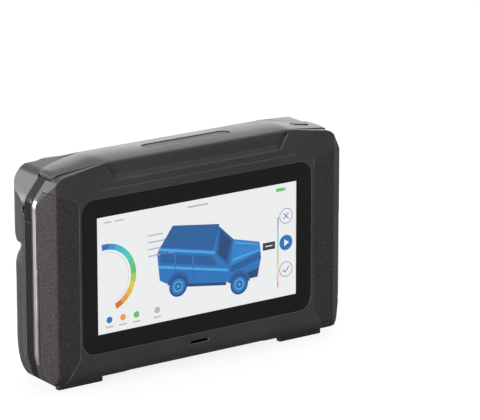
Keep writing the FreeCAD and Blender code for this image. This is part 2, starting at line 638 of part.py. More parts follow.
frontOuter = frontForm(0)
gripSkin = frontOuter.cut(frontForm(v["gripThick"]))
slit = block(v["halfWidth"] - v["slitDepth"], far, v["slitFrontY"], v["gripBackY"] + 1,
             v["gripLowZ"], v["slitTopZ"])
gripRight = gripSkin.common(gripBlock(0)).cut([coverRoom(v["coverGap"]), slit])
addShape("front_grip_right", gripRight)
addShape("front_grip_left", mirrorX(gripRight))

hollow = frontForm(v["wall"], v["frontSeamY"] + 1)
hollow = hollow.cut(block(-far, far, -1, bracketY, -far, far))
hollow = hollow.cut(block(-v["gripX"], v["gripX"], -1, v["browBack"], v["browLowZ"], far))
gripSeat = frontOuter.cut(frontForm(v["gripThick"] + v["gripGap"])).common(gripBlock(v["gripGap"]))
frontShell = frontOuter.cut([hollow, coverRoom(v["coverGap"]), gripSeat, mirrorX(gripSeat)])
# a second skin behind the grips keeps the wall under them
backing = frontForm(v["gripThick"] + v["gripGap"]).cut(frontForm(v["gripThick"] + v["gripGap"] + 1.2))
backing = backing.common(gripBlock(2 * v["wall"])).cut(coverRoom(v["coverGap"]))
frontShell = frontShell.fuse([backing, mirrorX(backing)])


def glassPrism(width, height, radius, y0, y1):
    corners = [(width / 2, -height / 2, radius), (width / 2, height / 2, radius),
               (-width / 2, height / 2, radius), (-width / 2, -height / 2, radius)]
    return prism(roundedWire(corners, onXZ(y0)), Vector(0, y1 - y0, 0))


gap = v["glassGap"]
seat = glassPrism(v["glassWidth"] + 2 * gap, v["glassHeight"] + 2 * gap, v["glassRound"] + gap, -1,
                  v["glassThick"])
opening = glassPrism(v["panelWidth"] + 2 * v["panelGap"], v["panelHeight"] + 2 * v["panelGap"],
                     v["panelGap"], 0, bracketY + 1)
lean = v["scoopLean"]
scoop = prism(roundedWire([(v["scoopHalf"] - lean, v["scoopLowZ"] - 1, 0),
                           (v["scoopHalf"], v["scoopTopZ"], 1.0),
                           (-v["scoopHalf"], v["scoopTopZ"], 1.0),
                           (lean - v["scoopHalf"], v["scoopLowZ"] - 1, 0)], onXZ(-1)),
              Vector(0, v["scoopDepth"] + 1, 0))
slopePoints = [Vector(-far, -1, v["scoopLowZ"] - v["scoopSlope"] / v["scoopDepth"]),
               Vector(-far, v["scoopDepth"], v["scoopLowZ"] + v["scoopSlope"]),
               Vector(-far, v["scoopDepth"], far), Vector(-far, -1, far)]
scoop = scoop.common(prism(Part.makePolygon(slopePoints + slopePoints[:1]), Vector(2 * far, 0, 0)))
creaseRim = v["creaseWidth"] / 2 * (1 + overrun / v["creaseDepth"])
creaseSides = [Vector(-v["creaseHalf"], -overrun, v["creaseZ"] - creaseRim),
               Vector(-v["creaseHalf"], v["creaseDepth"], v["creaseZ"]),
               Vector(-v["creaseHalf"], -overrun, v["creaseZ"] + creaseRim)]
crease = prism(Part.makePolygon(creaseSides + creaseSides[:1]), Vector(2 * v["creaseHalf"], 0, 0))
slotRadius = v["slotHeight"] / 2
slot = prism(pillWire(v["slotWidth"] / 2, slotRadius, lambda a, b: Vector(a, -1, b + v["slotZ"])),
             Vector(0, bracketY + 2, 0))
frontShell = frontShell.cut([seat, opening, scoop, crease, slot])
postTop = rodY(v["bossRadius"], v["frontPostTopX"], bracketY, v["frontSeamY"], v["frontPostTopZ"])
postLow = rodY(v["bossRadius"], v["frontPostLowX"], bracketY, v["frontSeamY"], v["frontPostLowZ"])
posts = bothHands(postTop.fuse(postLow))
frontHoles = [rodY(v["screwRadius"], hand * x, v["frontSeamY"] - v["screwLength"], v["frontSeamY"] + 9, z)
              for hand in (-1, 1) for x, z in ((v["frontPostTopX"], v["frontPostTopZ"]),
                                               (v["frontPostLowX"], v["frontPostLowZ"]))]


# ---------------------------------------------------------------- button frame on the shoulder
shoulderTurn = Rotation(Vector(0, 1, 0), shoulderSlope)
buttonUp = shoulderTurn.multVec(Vector(0, 0, 1))
buttonAlong = shoulderTurn.multVec(Vector(1, 0, 0))
buttonFall = (v["buttonX"] - v["topFlatHalf"]) * math.tan(math.radians(shoulderSlope))
buttonFoot = Vector(v["buttonX"], v["buttonY"], v["topEdge"] - buttonFall)


def onShoulder(level):
    return lambda a, b: buttonFoot + buttonAlong * a + Vector(0, b, 0) + buttonUp * level


def shoulderPill(length, width, low, high):
    return prism(pillWire(length / 2, width / 2 * 0.999, onShoulder(low)), buttonUp * (high - low))


def shoulderBox(length, width, low, high):
    put = onShoulder(low)
    corners = ((-1, -1), (1, -1), (1, 1), (-1, 1), (-1, -1))
    return prism(Part.makePolygon([put(a * length / 2, b * width / 2) for a, b in corners]),
                 buttonUp * (high - low))


coverUnder = -v["coverThick"]
buttonTop = v["coverCrown"] + v["buttonProud"]
flangeTop = coverUnder - v["switchGap"]
flangeLow = flangeTop - v["buttonFlange"]
switchTop = flangeLow - v["buttonTravel"] - v["switchGap"]
switchLow = switchTop - v["switchHeight"]
switchBoardLow = switchLow - v["switchBoardThick"]
button = shoulderPill(v["buttonLength"], v["buttonWidth"], flangeTop, buttonTop)
button = button.fuse(shoulderBox(v["buttonLength"] + 2 * v["buttonLip"], v["buttonWidth"], flangeLow,
                                 flangeTop))
addShape("power_button", button.removeSplitter())
switch = shoulderBox(v["switchSide"], v["switchSide"], switchLow, switchTop)
switchBoard = shoulderBox(v["switchBoardLength"], v["switchBoardWidth"], switchBoardLow, switchLow)
addShape("power_switch", switch.fuse(switchBoard).removeSplitter())
pocketLength = v["buttonLength"] + 2 * v["buttonLip"] + 2 * v["seamGap"]
pocketWidth = v["switchBoardWidth"] + 2 * v["seamGap"]
switchPocket = shoulderBox(pocketLength, pocketWidth, switchBoardLow, coverUnder + 1)
switchShelf = shoulderBox(pocketLength + 2 * v["wall"], pocketWidth, switchBoardLow - v["wall"],
                          switchBoardLow)

frontShell = frontShell.fuse(posts.common(frontForm(v["wall"]))).cut(frontHoles + [switchPocket])
shelfRoom = shoulderBox(pocketLength + 3 * v["wall"], pocketWidth + v["wall"], -far / 4, switchBoardLow)
addShape("front_shell", frontShell.cut(shelfRoom.common(frontForm(v["wall"]))).removeSplitter())

# ---------------------------------------------------------------- top cover and its inlay
def coverSection(y, lift):
    return roundedWire(insetCorners(outline, -lift), onXZ(y))


crown = Part.makeLoft([coverSection(v["coverFrontY"], 0), coverSection(v["crownY"], v["coverCrown"]),
                       coverSection(v["coverBackY"], 0)], True, False)
topCover = crown.cut(outlinePrism(v["coverThick"], 0, v["coverBackY"] + 9))
topCover = topCover.common(coverPlan(0))
topCover = topCover.cut(shoulderPill(v["buttonLength"] + 2 * v["buttonGap"],
                                     v["buttonWidth"] + 2 * v["buttonGap"], coverUnder - 1, buttonTop + 1))
crownZ = v["topEdge"] + v["coverCrown"]


def topPill(gap, low, high):
    wire = pillWire(v["pillLength"] / 2 + gap, v["pillWidth"] / 2 + gap,
                    lambda a, b: Vector(a, b + v["crownY"], low))
    return prism(wire, Vector(0, 0, high - low))


inlayTop = crownZ - v["pillDepth"]
inlayLow = inlayTop - v["pillThick"]
addShape("top_inlay", topPill(0, inlayLow, inlayTop))
addShape("top_cover", topCover.cut(topPill(v["pillGap"], inlayLow, crownZ + 1)).removeSplitter())

# ---------------------------------------------------------------- mid frame, side door and socket
boltsFront = [(hand * x, z) for hand in (-1, 1) for x, z in
              ((v["frontPostTopX"], v["frontPostTopZ"]), (v["frontPostLowX"], v["frontPostLowZ"]))]
boltsRear = [(hand * v["rearBossX"], z) for hand in (-1, 1)
             for z in (v["rearBossTopZ"], v["rearBossLowZ"])]
benchPosts = [(hand * v["benchPostX"], z) for hand in (-1, 1)
              for z in (v["benchPostLowZ"], v["benchPostTopZ"])]
inset = v["boardHoleInset"]
boardHoles = [(hand * (v["boardHalf"] - inset), z) for hand in (-1, 1)
              for z in (v["boardLowZ"] + inset, v["boardTopZ"] - inset)]

frameOuter = outlinePrism(0, webY, v["rearSeamY"])
frame = frameOuter.cut(outlinePrism(v["frameWall"], webBack, v["rearSeamY"] + 1))
frame = frame.cut(coverRoom(v["coverGap"]))
frame = frame.fuse([rodY(v["bossRadius"], x, webBack - 0.5, v["benchY"], z) for x, z in benchPosts])
frame = frame.fuse([rodY(v["bossRadius"], x, webBack - 0.5, v["boardY"], z) for x, z in boardHoles])
shelf = switchShelf.common(outlinePrism(v["coverThick"] + v["coverGap"], webY, v["rearSeamY"]))
frame = frame.fuse(shelf)

doorMid = v["halfWidth"] - v["doorThick"] / 2
pinY = v["doorFrontY"] + v["doorThick"] / 2
doorLow = v["doorZ"] - v["doorHeight"] / 2
doorHigh = v["doorZ"] + v["doorHeight"] / 2
doorGap = v["doorGap"]
pin = Part.makeCylinder(v["pinRadius"], v["doorHeight"] + 2 * v["pinSeat"],
                        Vector(-doorMid, pinY, doorLow - v["pinSeat"]))
door = block(-v["halfWidth"], -v["halfWidth"] + v["doorThick"], pinY, v["doorBackY"],
             doorLow, doorHigh)
door = door.fuse(Part.makeCylinder(v["doorThick"] / 2, v["doorHeight"], Vector(-doorMid, pinY, doorLow)))
pinHole = Part.makeCylinder(v["pinRadius"] + v["pinGap"], v["doorHeight"],
                            Vector(-doorMid, pinY, doorLow))
addShape("port_cover", door.cut(pinHole).removeSplitter())
addShape("port_cover_pin", pin)
doorSeat = block(-v["halfWidth"] - 1, -v["halfWidth"] + v["doorThick"] + doorGap,
                 v["doorFrontY"] - doorGap, v["rearSeamY"] + 1, doorLow - doorGap, doorHigh + doorGap)
socketY = (v["doorFrontY"] + v["doorBackY"]) / 2
socketX = -v["halfWidth"] + v["doorThick"] + doorGap + v["socketSink"]
socketSides = (v["socketHeight"], v["socketWidth"])


def socketPrism(gap, x0, x1):
    halfY = socketSides[0] / 2 + gap
    halfZ = socketSides[1] / 2 + gap
    wire = roundedWire([(socketY - halfY, v["doorZ"] - halfZ, halfY * 0.98),
                        (socketY + halfY, v["doorZ"] - halfZ, halfY * 0.98),
                        (socketY + halfY, v["doorZ"] + halfZ, halfY * 0.98),
                        (socketY - halfY, v["doorZ"] + halfZ, halfY * 0.98)], onYZ(x0))
    return prism(wire, Vector(x1 - x0, 0, 0))


socketEnd = socketX + v["socketLength"]
socket = socketPrism(0, socketX, socketEnd).cut(socketPrism(-v["socketWall"], socketX - 1, socketEnd - 1))
tongue = block(socketX + 0.6, socketEnd, socketY - v["tongueThick"] / 2, socketY + v["tongueThick"] / 2,
               v["doorZ"] - v["tongueWidth"] / 2, v["doorZ"] + v["tongueWidth"] / 2)
addShape("usb_receptacle", socket.fuse(tongue).removeSplitter())
boardFace = socketY + v["socketHeight"] / 2
farEnd = socketX + v["frameWall"] + v["socketBoardLength"]
socketBoard = block(socketX + v["frameWall"], farEnd, boardFace, boardFace + v["socketBoardThick"],
                    v["doorZ"] - v["socketBoardHeight"] / 2, v["doorZ"] + v["socketBoardHeight"] / 2)
addShape("usb_board", socketBoard)
socketPosts = [rodY(v["screwRadius"] + 0.8, farEnd - 2, webBack - 0.5, boardFace,
                    v["doorZ"] + hand * 5.5) for hand in (-1, 1)]
frame = frame.fuse(socketPosts)


def plugPrism(gap, length):
    return Part.makeCylinder(v["plugRadius"] + gap, length, Vector(v["halfWidth"] - length + 1, v["plugY"],
                             v["plugZ"]), Vector(1, 0, 0))


def caseSkin(depth):
    """Skin of the mid frame and rear shell, `depth` thick."""
    outer = frameOuter.fuse(rearForm(0, v["rearSeamY"] - 0.5))
    inner = outlinePrism(depth, webY - 1, v["rearSeamY"]).fuse(rearForm(depth, v["rearSeamY"] - 1))
    return outer.cut(inner)


plugSkin = caseSkin(v["plugThick"]).common(plugPrism(0, 9))
addShape("side_plug", plugSkin)
plugSeat = caseSkin(v["plugThick"] + v["plugGap"]).common(plugPrism(v["plugGap"], 10))

ribbonSlot = block(-v["ribbonWidth"] / 2 - v["ribbonGap"], v["ribbonWidth"] / 2 + v["ribbonGap"], webY - 1,
                   webBack + 1, -v["bracketHeight"] / 2 - 4.2, -v["bracketHeight"] / 2 - 1.8)
frameHoles = [rodY(v["screwRadius"], x, webY - 1, webBack + 1, z) for x, z in boltsFront + boltsRear]
frameHoles += [rodY(v["screwRadius"], x, v["benchY"] - v["screwLength"], v["benchY"] + 1, z)
               for x, z in benchPosts]
frameHoles += [rodY(v["screwRadius"], x, v["boardY"] + v["pcbThick"] - v["screwLength"],
                    v["boardY"] + 1, z) for x, z in boardHoles]
socketMouth = socketPrism(doorGap, socketX - 2, socketX + 4)
frame = frame.cut(frameHoles + [switchPocket, doorSeat, pin, socketMouth, plugSeat, ribbonSlot])
addShape("mid_frame", frame.removeSplitter())

# ---------------------------------------------------------------- rear shell and handle pads
rearOuter = rearForm(0, v["rearSeamY"] - 1)
rearHollow = rearForm(v["rearWall"], v["rearSeamY"] - 2)


def padBlock(gap):
    """Pad area of the right handle, seen from behind, grown by `gap`."""
    inX = v["padInX"] - gap
    outX = v["halfWidth"] + 9
    low = v["padLowZ"] - gap
    top = v["padTopZ"] + gap
    wire = roundedWire([(inX, low, v["padRound"]), (outX, low, 0), (outX, top, 0),
                        (inX, top, v["padRound"])], onXZ(v["padFrontY"] - gap))
    return prism(wire, Vector(0, far, 0))


padSkin = rearOuter.cut(rearForm(v["padThick"], v["rearSeamY"] - 2)).common(padBlock(0))
addShape("handle_pad_right", padSkin)
addShape("handle_pad_left", mirrorX(padSkin))
padRoom = rearForm(v["padThick"] + v["padGap"], v["rearSeamY"] - 2)
padSeat = rearOuter.cut(padRoom).common(padBlock(v["padGap"]))

rearShell = rearOuter.cut([rearHollow, padSeat, mirrorX(padSeat), coverRoom(v["coverGap"]), plugSeat])
bosses = [rodY(v["bossRadius"], x, webBack + v["seamGap"], v["panelY"] - 1, z) for x, z in boltsRear]
rearShell = rearShell.fuse([boss.common(rearOuter) for boss in bosses])
gap = v["plateGap"]
plateTop = v["barTopBackZ"] - v["ventHeight"]
plateSeatY = v["barY"] - v["plateThick"]


def plateRoom(gap, low, high):
    """Room of the faceplate between the two pods."""
    room = block(-v["barFlatHalf"] - gap, v["barFlatHalf"] + gap, plateSeatY, v["barY"] + 9, low, high)
    ring = v["podGap"] + v["podWall"] / 2 - gap
    return room.cut([pod.pill(-ring, podBack, 9) for pod in pods.values()])


def centrePill(half, radius, y0, y1):
    wire = pillWire(half, radius, lambda a, b: Vector(a, y0, b + v["eyeZ"]))
    return prism(wire, Vector(0, y1 - y0, 0))


ledge = v["centreLedge"]
rearCuts = [plateRoom(gap, v["plateLowZ"] - gap, v["barTopBackZ"])]
rearCuts += [centrePill(v["centreHalf"] - ledge, v["centreRound"] - ledge, v["barY"] - 9, v["barY"] + 1)]
rearCuts += podPockets
rearCuts += [block(-far, far, 0, rearY, -far, far)]
rearCuts += [rodY(v["screwRadius"], x, 0, webBack + v["seamGap"] + v["screwLength"], z)
             for x, z in boltsRear]
rearShell = rearShell.cut(rearCuts)


def grilleSpots():
    """Places (x, z, radius) of the holes: a hexagonal field that fades at its rim."""
    pitch = v["holePitch"]
    rowPitch = pitch * math.sqrt(3) / 2
    rows = int(v["grilleRows"])
    spots = []
    for row in range(rows):
        shift = pitch / 2 if row % 2 else 0
        reach = int((v["grilleHalf"] - shift) / pitch)
        for column in range(-reach - (1 if row % 2 else 0), reach + 1):
            x = column * pitch + shift
            rim = min(row, rows - 1 - row, (v["grilleHalf"] - abs(x)) / pitch)
            share = min(rim / 2, 1)
            radius = v["holeSmall"] + (v["holeRadius"] - v["holeSmall"]) * share
            spots.append((x, v["grilleTopZ"] - row * rowPitch, radius))
    return spots


holes = [rodY(radius, x, v["panelY"] - v["rearWall"] - 1, v["panelY"] + 1, z)
         for x, z, radius in grilleSpots()]
rearShell = rearShell.cut(holes)
notch = Part.makeCylinder(v["notchRadius"], v["doorThick"] + 1,
                          Vector(-v["halfWidth"] - 1, rearY, v["doorZ"]), Vector(1, 0, 0))
addShape("rear_shell", rearShell.cut(notch).removeSplitter())

# ---------------------------------------------------------------- faceplate and what looks out of it
facePlate = plateRoom(0, v["plateLowZ"], plateTop).common(block(-far, far, 0, v["barY"], -far, far))
seatPill = centrePill(v["centreHalf"] + v["centreGap"], v["centreRound"] + v["centreGap"],
                      v["barY"] - v["centreThick"], v["barY"] + 1)
lookOut = centrePill(v["centreHalf"] - ledge, v["centreRound"] - ledge, 0, v["barY"] + 1)
addShape("sensor_faceplate", facePlate.cut([seatPill, lookOut]))
addShape("centre_window", centrePill(v["centreHalf"], v["centreRound"], v["barY"] - v["centreThick"],
                                     v["barY"]))

bench = block(-v["benchHalf"], v["benchHalf"], v["benchY"], v["benchY"] + v["benchThick"], v["benchLowZ"],
              v["benchTopZ"])
benchFace = v["benchY"] + v["benchThick"]
behindBench = block(-far, far, benchFace - 1, far, -far, far)
wedges = [pod.pill(v["wedgeInset"], podBack - far, podBack).common(behindBench) for pod in pods.values()]
benchHoles = [rodY(v["screwRadius"], x, v["benchY"] - 1, benchFace + 1, z) for x, z in benchPosts]
addShape("optical_bench", bench.fuse(wedges).cut(benchHoles).removeSplitter())
deviceY = v["barY"] - v["centreThick"] - v["deviceGap"]


def squareDevice(x):
    wire = squareWire(v["squareSide"] / 2, v["squareRound"],
                      lambda a, b: Vector(a + x, benchFace, b + v["eyeZ"]))
    return prism(wire, Vector(0, deviceY - benchFace, 0))


addShape("colour_camera", rodY(v["colourRadius"], v["colourX"], benchFace, deviceY, v["eyeZ"]))
addShape("flash_lamp", squareDevice(v["flashX"]))
addShape("pattern_projector", squareDevice(v["projectorX"]))


def laserModule(x, z, turn):
    """Round module with two flats, its line turned by `turn` degrees."""
    rod = rodY(v["laserRadius"], x, benchFace, deviceY, z)
    reach = v["laserRadius"] - v["laserFlat"]
    flat = block(x - reach, x + reach, benchFace, deviceY, z - far, z + far)
    flat.rotate(Vector(x, 0, z), Vector(0, 1, 0), turn)
    return rod.common(flat)


lasers = [laserModule(x, v["eyeZ"] + hand * v["laserZ"], turn) for hand in (-1, 1)
          for x, turn in ((v["laserX"], 0), (v["laserTurnX"], hand * v["laserTurn"]))]
addShape("laser_modules", Part.makeCompound(lasers))

# ---------------------------------------------------------------- screen and speaker
plate("display_glass", "glassWidth", "glassHeight", "glassThick", "0", "0", "0", corner="glassRound")
plate("display_panel", "panelWidth", "panelHeight", "panelThick", "0", "glassThick", "0")
plate("display_bracket", "bracketWidth", "bracketHeight", "bracketThick", "0",
      "glassThick + panelThick", "0", corner="bracketRound",
      window=("ribbonWidth + 2 * ribbonGap", "ribbonWidth / 2", "ribbonWidth * 0.75 - bracketHeight / 2"))
plate("speaker_mesh", "speakerWidth", "speakerHeight", "meshThick", "0", "glassThick + panelThick",
      "slotZ")
keep(box("speaker_driver", "-speakerWidth / 2", "glassThick + panelThick + meshThick",
         "slotZ - speakerHeight / 2", "speakerWidth", "speakerDepth", "speakerHeight"), "speaker_driver")

ribbonHalf = v["ribbonWidth"] / 2
ribbonZ = -v["bracketHeight"] / 2 - 3.0
ribbonTop = -v["bracketHeight"] / 2 + v["ribbonWidth"] * 0.75
ribbonBack = bracketY + v["bracketThick"] + v["ribbonGap"]
thick = v["ribbonThick"]
ribbonParts = [block(-ribbonHalf, ribbonHalf, bracketY, ribbonBack, ribbonTop - thick, ribbonTop),
               block(-ribbonHalf, ribbonHalf, ribbonBack, ribbonBack + thick, ribbonZ, ribbonTop),
               block(-ribbonHalf, ribbonHalf, ribbonBack, v["boardY"], ribbonZ - thick, ribbonZ)]
addShape("display_ribbon", ribbonParts[0].fuse(ribbonParts[1:]).removeSplitter())

# ---------------------------------------------------------------- main board and its cooling
boardWidth = 2 * v["boardHalf"]
board = block(-v["boardHalf"], v["boardHalf"], v["boardY"], v["boardY"] + v["pcbThick"], v["boardLowZ"],
              v["boardTopZ"])
boardBack = v["boardY"] + v["pcbThick"]
boardHoleRods = [rodY(v["screwRadius"], x, v["boardY"] - 1, boardBack + 1, z) for x, z in boardHoles]
addShape("main_board", board.cut(boardHoleRods))
keep(box("processor", "-chipSide / 2", "boardY + pcbThick", "fanZ - chipSide / 2", "chipSide", "chipThick",
         "chipSide"), "processor")
keep(box("shield_can", "canX - canWidth / 2", "boardY + pcbThick", "canZ - canHeight / 2", "canWidth",
         "canThick", "canHeight"), "shield_can")
sinkY = boardBack + v["chipThick"]
sinkTop = sinkY + v["sinkBase"] + v["finHeight"]
sink = block(-v["sinkWidth"] / 2, v["sinkWidth"] / 2, sinkY, sinkY + v["sinkBase"],
             v["fanZ"] - v["sinkHeight"] / 2, v["fanZ"] + v["sinkHeight"] / 2)
finCount = int(v["finCount"])
finPitch = (v["sinkWidth"] - v["finThick"]) / (finCount - 1)
finEdges = [i * finPitch - v["sinkWidth"] / 2 for i in range(finCount)]
fins = [block(edge, edge + v["finThick"], sinkY, sinkTop, v["fanZ"] - v["sinkHeight"] / 2,
              v["fanZ"] + v["sinkHeight"] / 2) for edge in finEdges]
addShape("heat_sink", sink.fuse(fins).removeSplitter())

fanY = v["fanY"]
fanBack = fanY + v["fanDepth"]
fanZ = v["fanZ"]
bore = v["fanBore"] / 2
half = v["fanSide"] / 2
fan = block(-half, half, fanY, fanBack, fanZ - half, fanZ + half)
fan = fan.cut(rodY(bore, 0, fanY - 1, fanBack + 1, fanZ))
hub = rodY(v["hubRadius"], 0, fanY, fanY + v["hubPlate"], fanZ)
struts = []
for i in range(3):
    strut = block(-v["strutWidth"] / 2, v["strutWidth"] / 2, fanY, fanY + v["hubPlate"], fanZ,
                  fanZ + bore + 0.5)
    strut.rotate(Vector(0, 0, fanZ), Vector(0, 1, 0), 60 + 120 * i)
    struts.append(strut)
shaftHole = rodY(v["shaftRadius"] + v["shaftGap"], 0, fanY - 1, fanBack, fanZ)
addShape("fan_frame", fan.fuse([hub] + struts).cut(shaftHole).removeSplitter())

hubFront = fanY + v["hubSetback"]
hubBack = fanBack - v["bladeGap"]
rotor = rodY(v["hubRadius"], 0, hubFront, hubBack, fanZ)
rotor = rotor.fuse(rodY(v["shaftRadius"], 0, fanY, hubFront, fanZ))
bladeMid = (hubFront + hubBack) / 2
bladeReach = (hubBack - hubFront) / 2
pitch = math.radians(v["bladePitch"])
chord = 2 * (bladeReach - v["bladeThick"]) / math.cos(pitch)
for i in range(int(v["bladeCount"])):
    blade = block(-v["bladeThick"] / 2, v["bladeThick"] / 2, bladeMid - chord / 2, bladeMid + chord / 2,
                  fanZ + v["hubRadius"] - 1, fanZ + bore)
    blade.rotate(Vector(0, bladeMid, fanZ), Vector(0, 0, 1), v["bladePitch"])
    blade.rotate(Vector(0, 0, fanZ), Vector(0, 1, 0), 360 / v["bladeCount"] * i)
    rotor = rotor.fuse(blade)
rotor = rotor.common(rodY(bore - v["bladeGap"], 0, fanY, fanBack, fanZ))
addShape("fan_rotor", rotor.removeSplitter())

# ---------------------------------------------------------------- batteries
cellLow = v["cellTopZ"] - v["cellLength"]
cellSpots = [(v["cellInX"], v["cellInY"]), (v["cellOutX"], v["cellOutY"])]


def upright(radius, spot, low, high):
    return Part.makeCylinder(radius, high - low, Vector(spot[0], spot[1], low), Vector(0, 0, 1))


cells = [upright(v["cellRadius"], spot, cellLow, v["cellTopZ"]) for spot in cellSpots]
addShape("battery_cells_right", Part.makeCompound(cells))
addShape("battery_cells_left", Part.makeCompound([mirrorX(cell) for cell in cells]))
cradleLow = cellLow + v["cradleSetback"]
cradleTop = v["cellTopZ"] - v["cradleSetback"]
sleeve = v["cellRadius"] + v["cradleGap"] + v["cradleWall"]
sleeves = [upright(sleeve, spot, cradleLow, cradleTop) for spot in cellSpots]
keel = block(v["cellInX"], v["cellOutX"], webBack, v["cellOutY"], cradleLow, cradleTop)
cradle = sleeves[0].fuse([sleeves[1], keel])
cradle = cradle.cut([upright(v["cellRadius"] + v["cradleGap"], spot, cradleLow - 1, cradleTop + 1)
                     for spot in cellSpots])
cradle = cradle.common(rearForm(v["rearWall"] + v["seamGap"], webBack))
cradle = cradle.cut(rodY(v["headRadius"] + v["seamGap"], v["frontPostLowX"], webBack - 1,
                         webBack + v["headHeight"] + 1, v["frontPostLowZ"]))
addShape("battery_cradle_right", cradle)
addShape("battery_cradle_left", mirrorX(cradle))

# ---------------------------------------------------------------- screws, camera ribbons and feet
screws = [screw(x, webBack, z, -1) for x, z in boltsFront]
screws += [screw(x, webY, z, 1) for x, z in boltsRear]
addShape("case_screws", Part.makeCompound(screws))
innerScrews = [screw(x, boardBack, z, -1) for x, z in boardHoles]
innerScrews += [screw(x, benchFace, z, -1) for x, z in benchPosts]
addShape("inner_screws", Part.makeCompound(innerScrews))

ribbonIn = v["benchPostX"] + v["bossRadius"] + v["ribbonGap"]
strip = block(ribbonIn, ribbonIn + v["ribbonWidth"] / 2, v["benchY"] - thick, v["benchY"],
              v["boardTopZ"] - v["ribbonWidth"] / 2, v["benchTopZ"] - v["ribbonWidth"])
ribbonZ = v["boardTopZ"] - v["ribbonWidth"] / 2
strip = strip.fuse(block(ribbonIn, ribbonIn + v["ribbonWidth"] / 2, boardBack, v["benchY"], ribbonZ,
                         ribbonZ + thick))
addShape("camera_ribbons", Part.makeCompound([strip, mirrorX(strip)]))


def foot(inX, outX, y):
    low = v["bottomEdge"] - v["footHeight"]
    bar = block(inX, outX, y, y + v["footDepth"], low, v["bottomEdge"])
    edges = [e for e in bar.Edges if e.BoundBox.ZMax < low + 1e-6 or e.BoundBox.ZLength > 1]
    return bar.makeFillet(v["footRound"], edges)


feet = [foot(v["footInX"], v["footOutX"], v["footFrontY"]),
        foot(v["backFootInX"], v["backFootOutX"], v["backFootY"])]
feet += [mirrorX(bar) for bar in feet]
addShape("rubber_feet", Part.makeCompound(feet))

# ---------------------------------------------------------------- check and export
doc.recompute()
for obj in doc.Objects:
    if "Invalid" in obj.State or "Error" in obj.State:
        raise RuntimeError("%s is in state %s" % (obj.Name, obj.State))
os.makedirs("parts", exist_ok=True)
for part in subParts:
    if part.Shape.isNull() or not part.Shape.isValid():
        raise RuntimeError(part.Label + " has no valid shape")
    part.Shape.exportStep("parts/%s.step" % part.Label)
    print("%-22s %2d solid(s) %10.1f mm3" % (part.Label, len(part.Shape.Solids), part.Shape.Volume))
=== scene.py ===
import math

import bmesh
import bpy
from mathutils import Matrix, Vector


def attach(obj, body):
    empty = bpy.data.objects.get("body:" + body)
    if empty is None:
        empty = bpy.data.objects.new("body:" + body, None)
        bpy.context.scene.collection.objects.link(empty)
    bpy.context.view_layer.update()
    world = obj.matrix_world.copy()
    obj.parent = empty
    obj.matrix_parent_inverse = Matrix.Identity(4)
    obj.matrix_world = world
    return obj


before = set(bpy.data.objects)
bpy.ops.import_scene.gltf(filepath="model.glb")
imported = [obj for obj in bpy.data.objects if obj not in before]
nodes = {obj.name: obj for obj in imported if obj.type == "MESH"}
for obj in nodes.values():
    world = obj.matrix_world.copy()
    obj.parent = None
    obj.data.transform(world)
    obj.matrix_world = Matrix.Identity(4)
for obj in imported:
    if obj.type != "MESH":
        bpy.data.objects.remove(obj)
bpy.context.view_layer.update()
mm = 0.001
hands = (("left", -1), ("right", 1))


# small tools

def toLinear(code):
    # sRGB hex to the linear colour that the shaders want
    parts = [int(code[i:i + 2], 16) / 255 for i in (1, 3, 5)]
    return [p / 12.92 if p < 0.04045 else ((p + 0.055) / 1.055) ** 2.4 for p in parts] + [1.0]


def addNode(tree, kind, settings=None, links=None):
    # one node: sockets and properties by name (or socket number), then its incoming links
    node = tree.nodes.new(kind)
    for name, value in (settings or {}).items():
        if isinstance(name, str) and hasattr(node, name):
            setattr(node, name, value)
        else:
            node.inputs[name].default_value = value
    for name, source in (links or {}).items():
        tree.links.new(source, node.inputs[name])
    return node


def startFinish(name, settings):
    # a material with a Principled shader and an object coordinate to work from
    material = bpy.data.materials.new(name)
    material.use_nodes = True
    tree = material.node_tree
    shader = tree.nodes["Principled BSDF"]
    for socket, value in settings.items():
        shader.inputs[socket].default_value = value
    place = tree.nodes.new("ShaderNodeTexCoord").outputs["Object"]
    return material, tree, shader, place


def feed(tree, node, sources):
    # patterned values into the sockets of a shader or of the output
    for socket, source in sources.items():
        tree.links.new(source, node.inputs[socket])


def perMetre(size):
    # pattern scale from a real size in millimetres
    return 1 / (size * mm)


def combined(tree, operation, values):
    # many values made one, two at a time
    result = values[0]
    for value in values[1:]:
        result = addNode(tree, "ShaderNodeMath", {"operation": operation},
                         {0: result, 1: value}).outputs[0]
    return result


def withinBox(tree, place, limits):
    # 1 inside the limits (mm) and 0 outside; the X limits hold on both sides of the middle
    axes = addNode(tree, "ShaderNodeSeparateXYZ", {}, {"Vector": place})
    side = addNode(tree, "ShaderNodeMath", {"operation": "ABSOLUTE"}, {0: axes.outputs["X"]})
    values = {"X": side.outputs[0], "Y": axes.outputs["Y"], "Z": axes.outputs["Z"]}
    tests = []
    for axis, ends in limits.items():
        for operation, end in zip(("GREATER_THAN", "LESS_THAN"), ends):
            test = addNode(tree, "ShaderNodeMath", {"operation": operation, 1: end * mm},
                           {0: values[axis]})
            tests.append(test.outputs[0])
    return combined(tree, "MULTIPLY", tests)


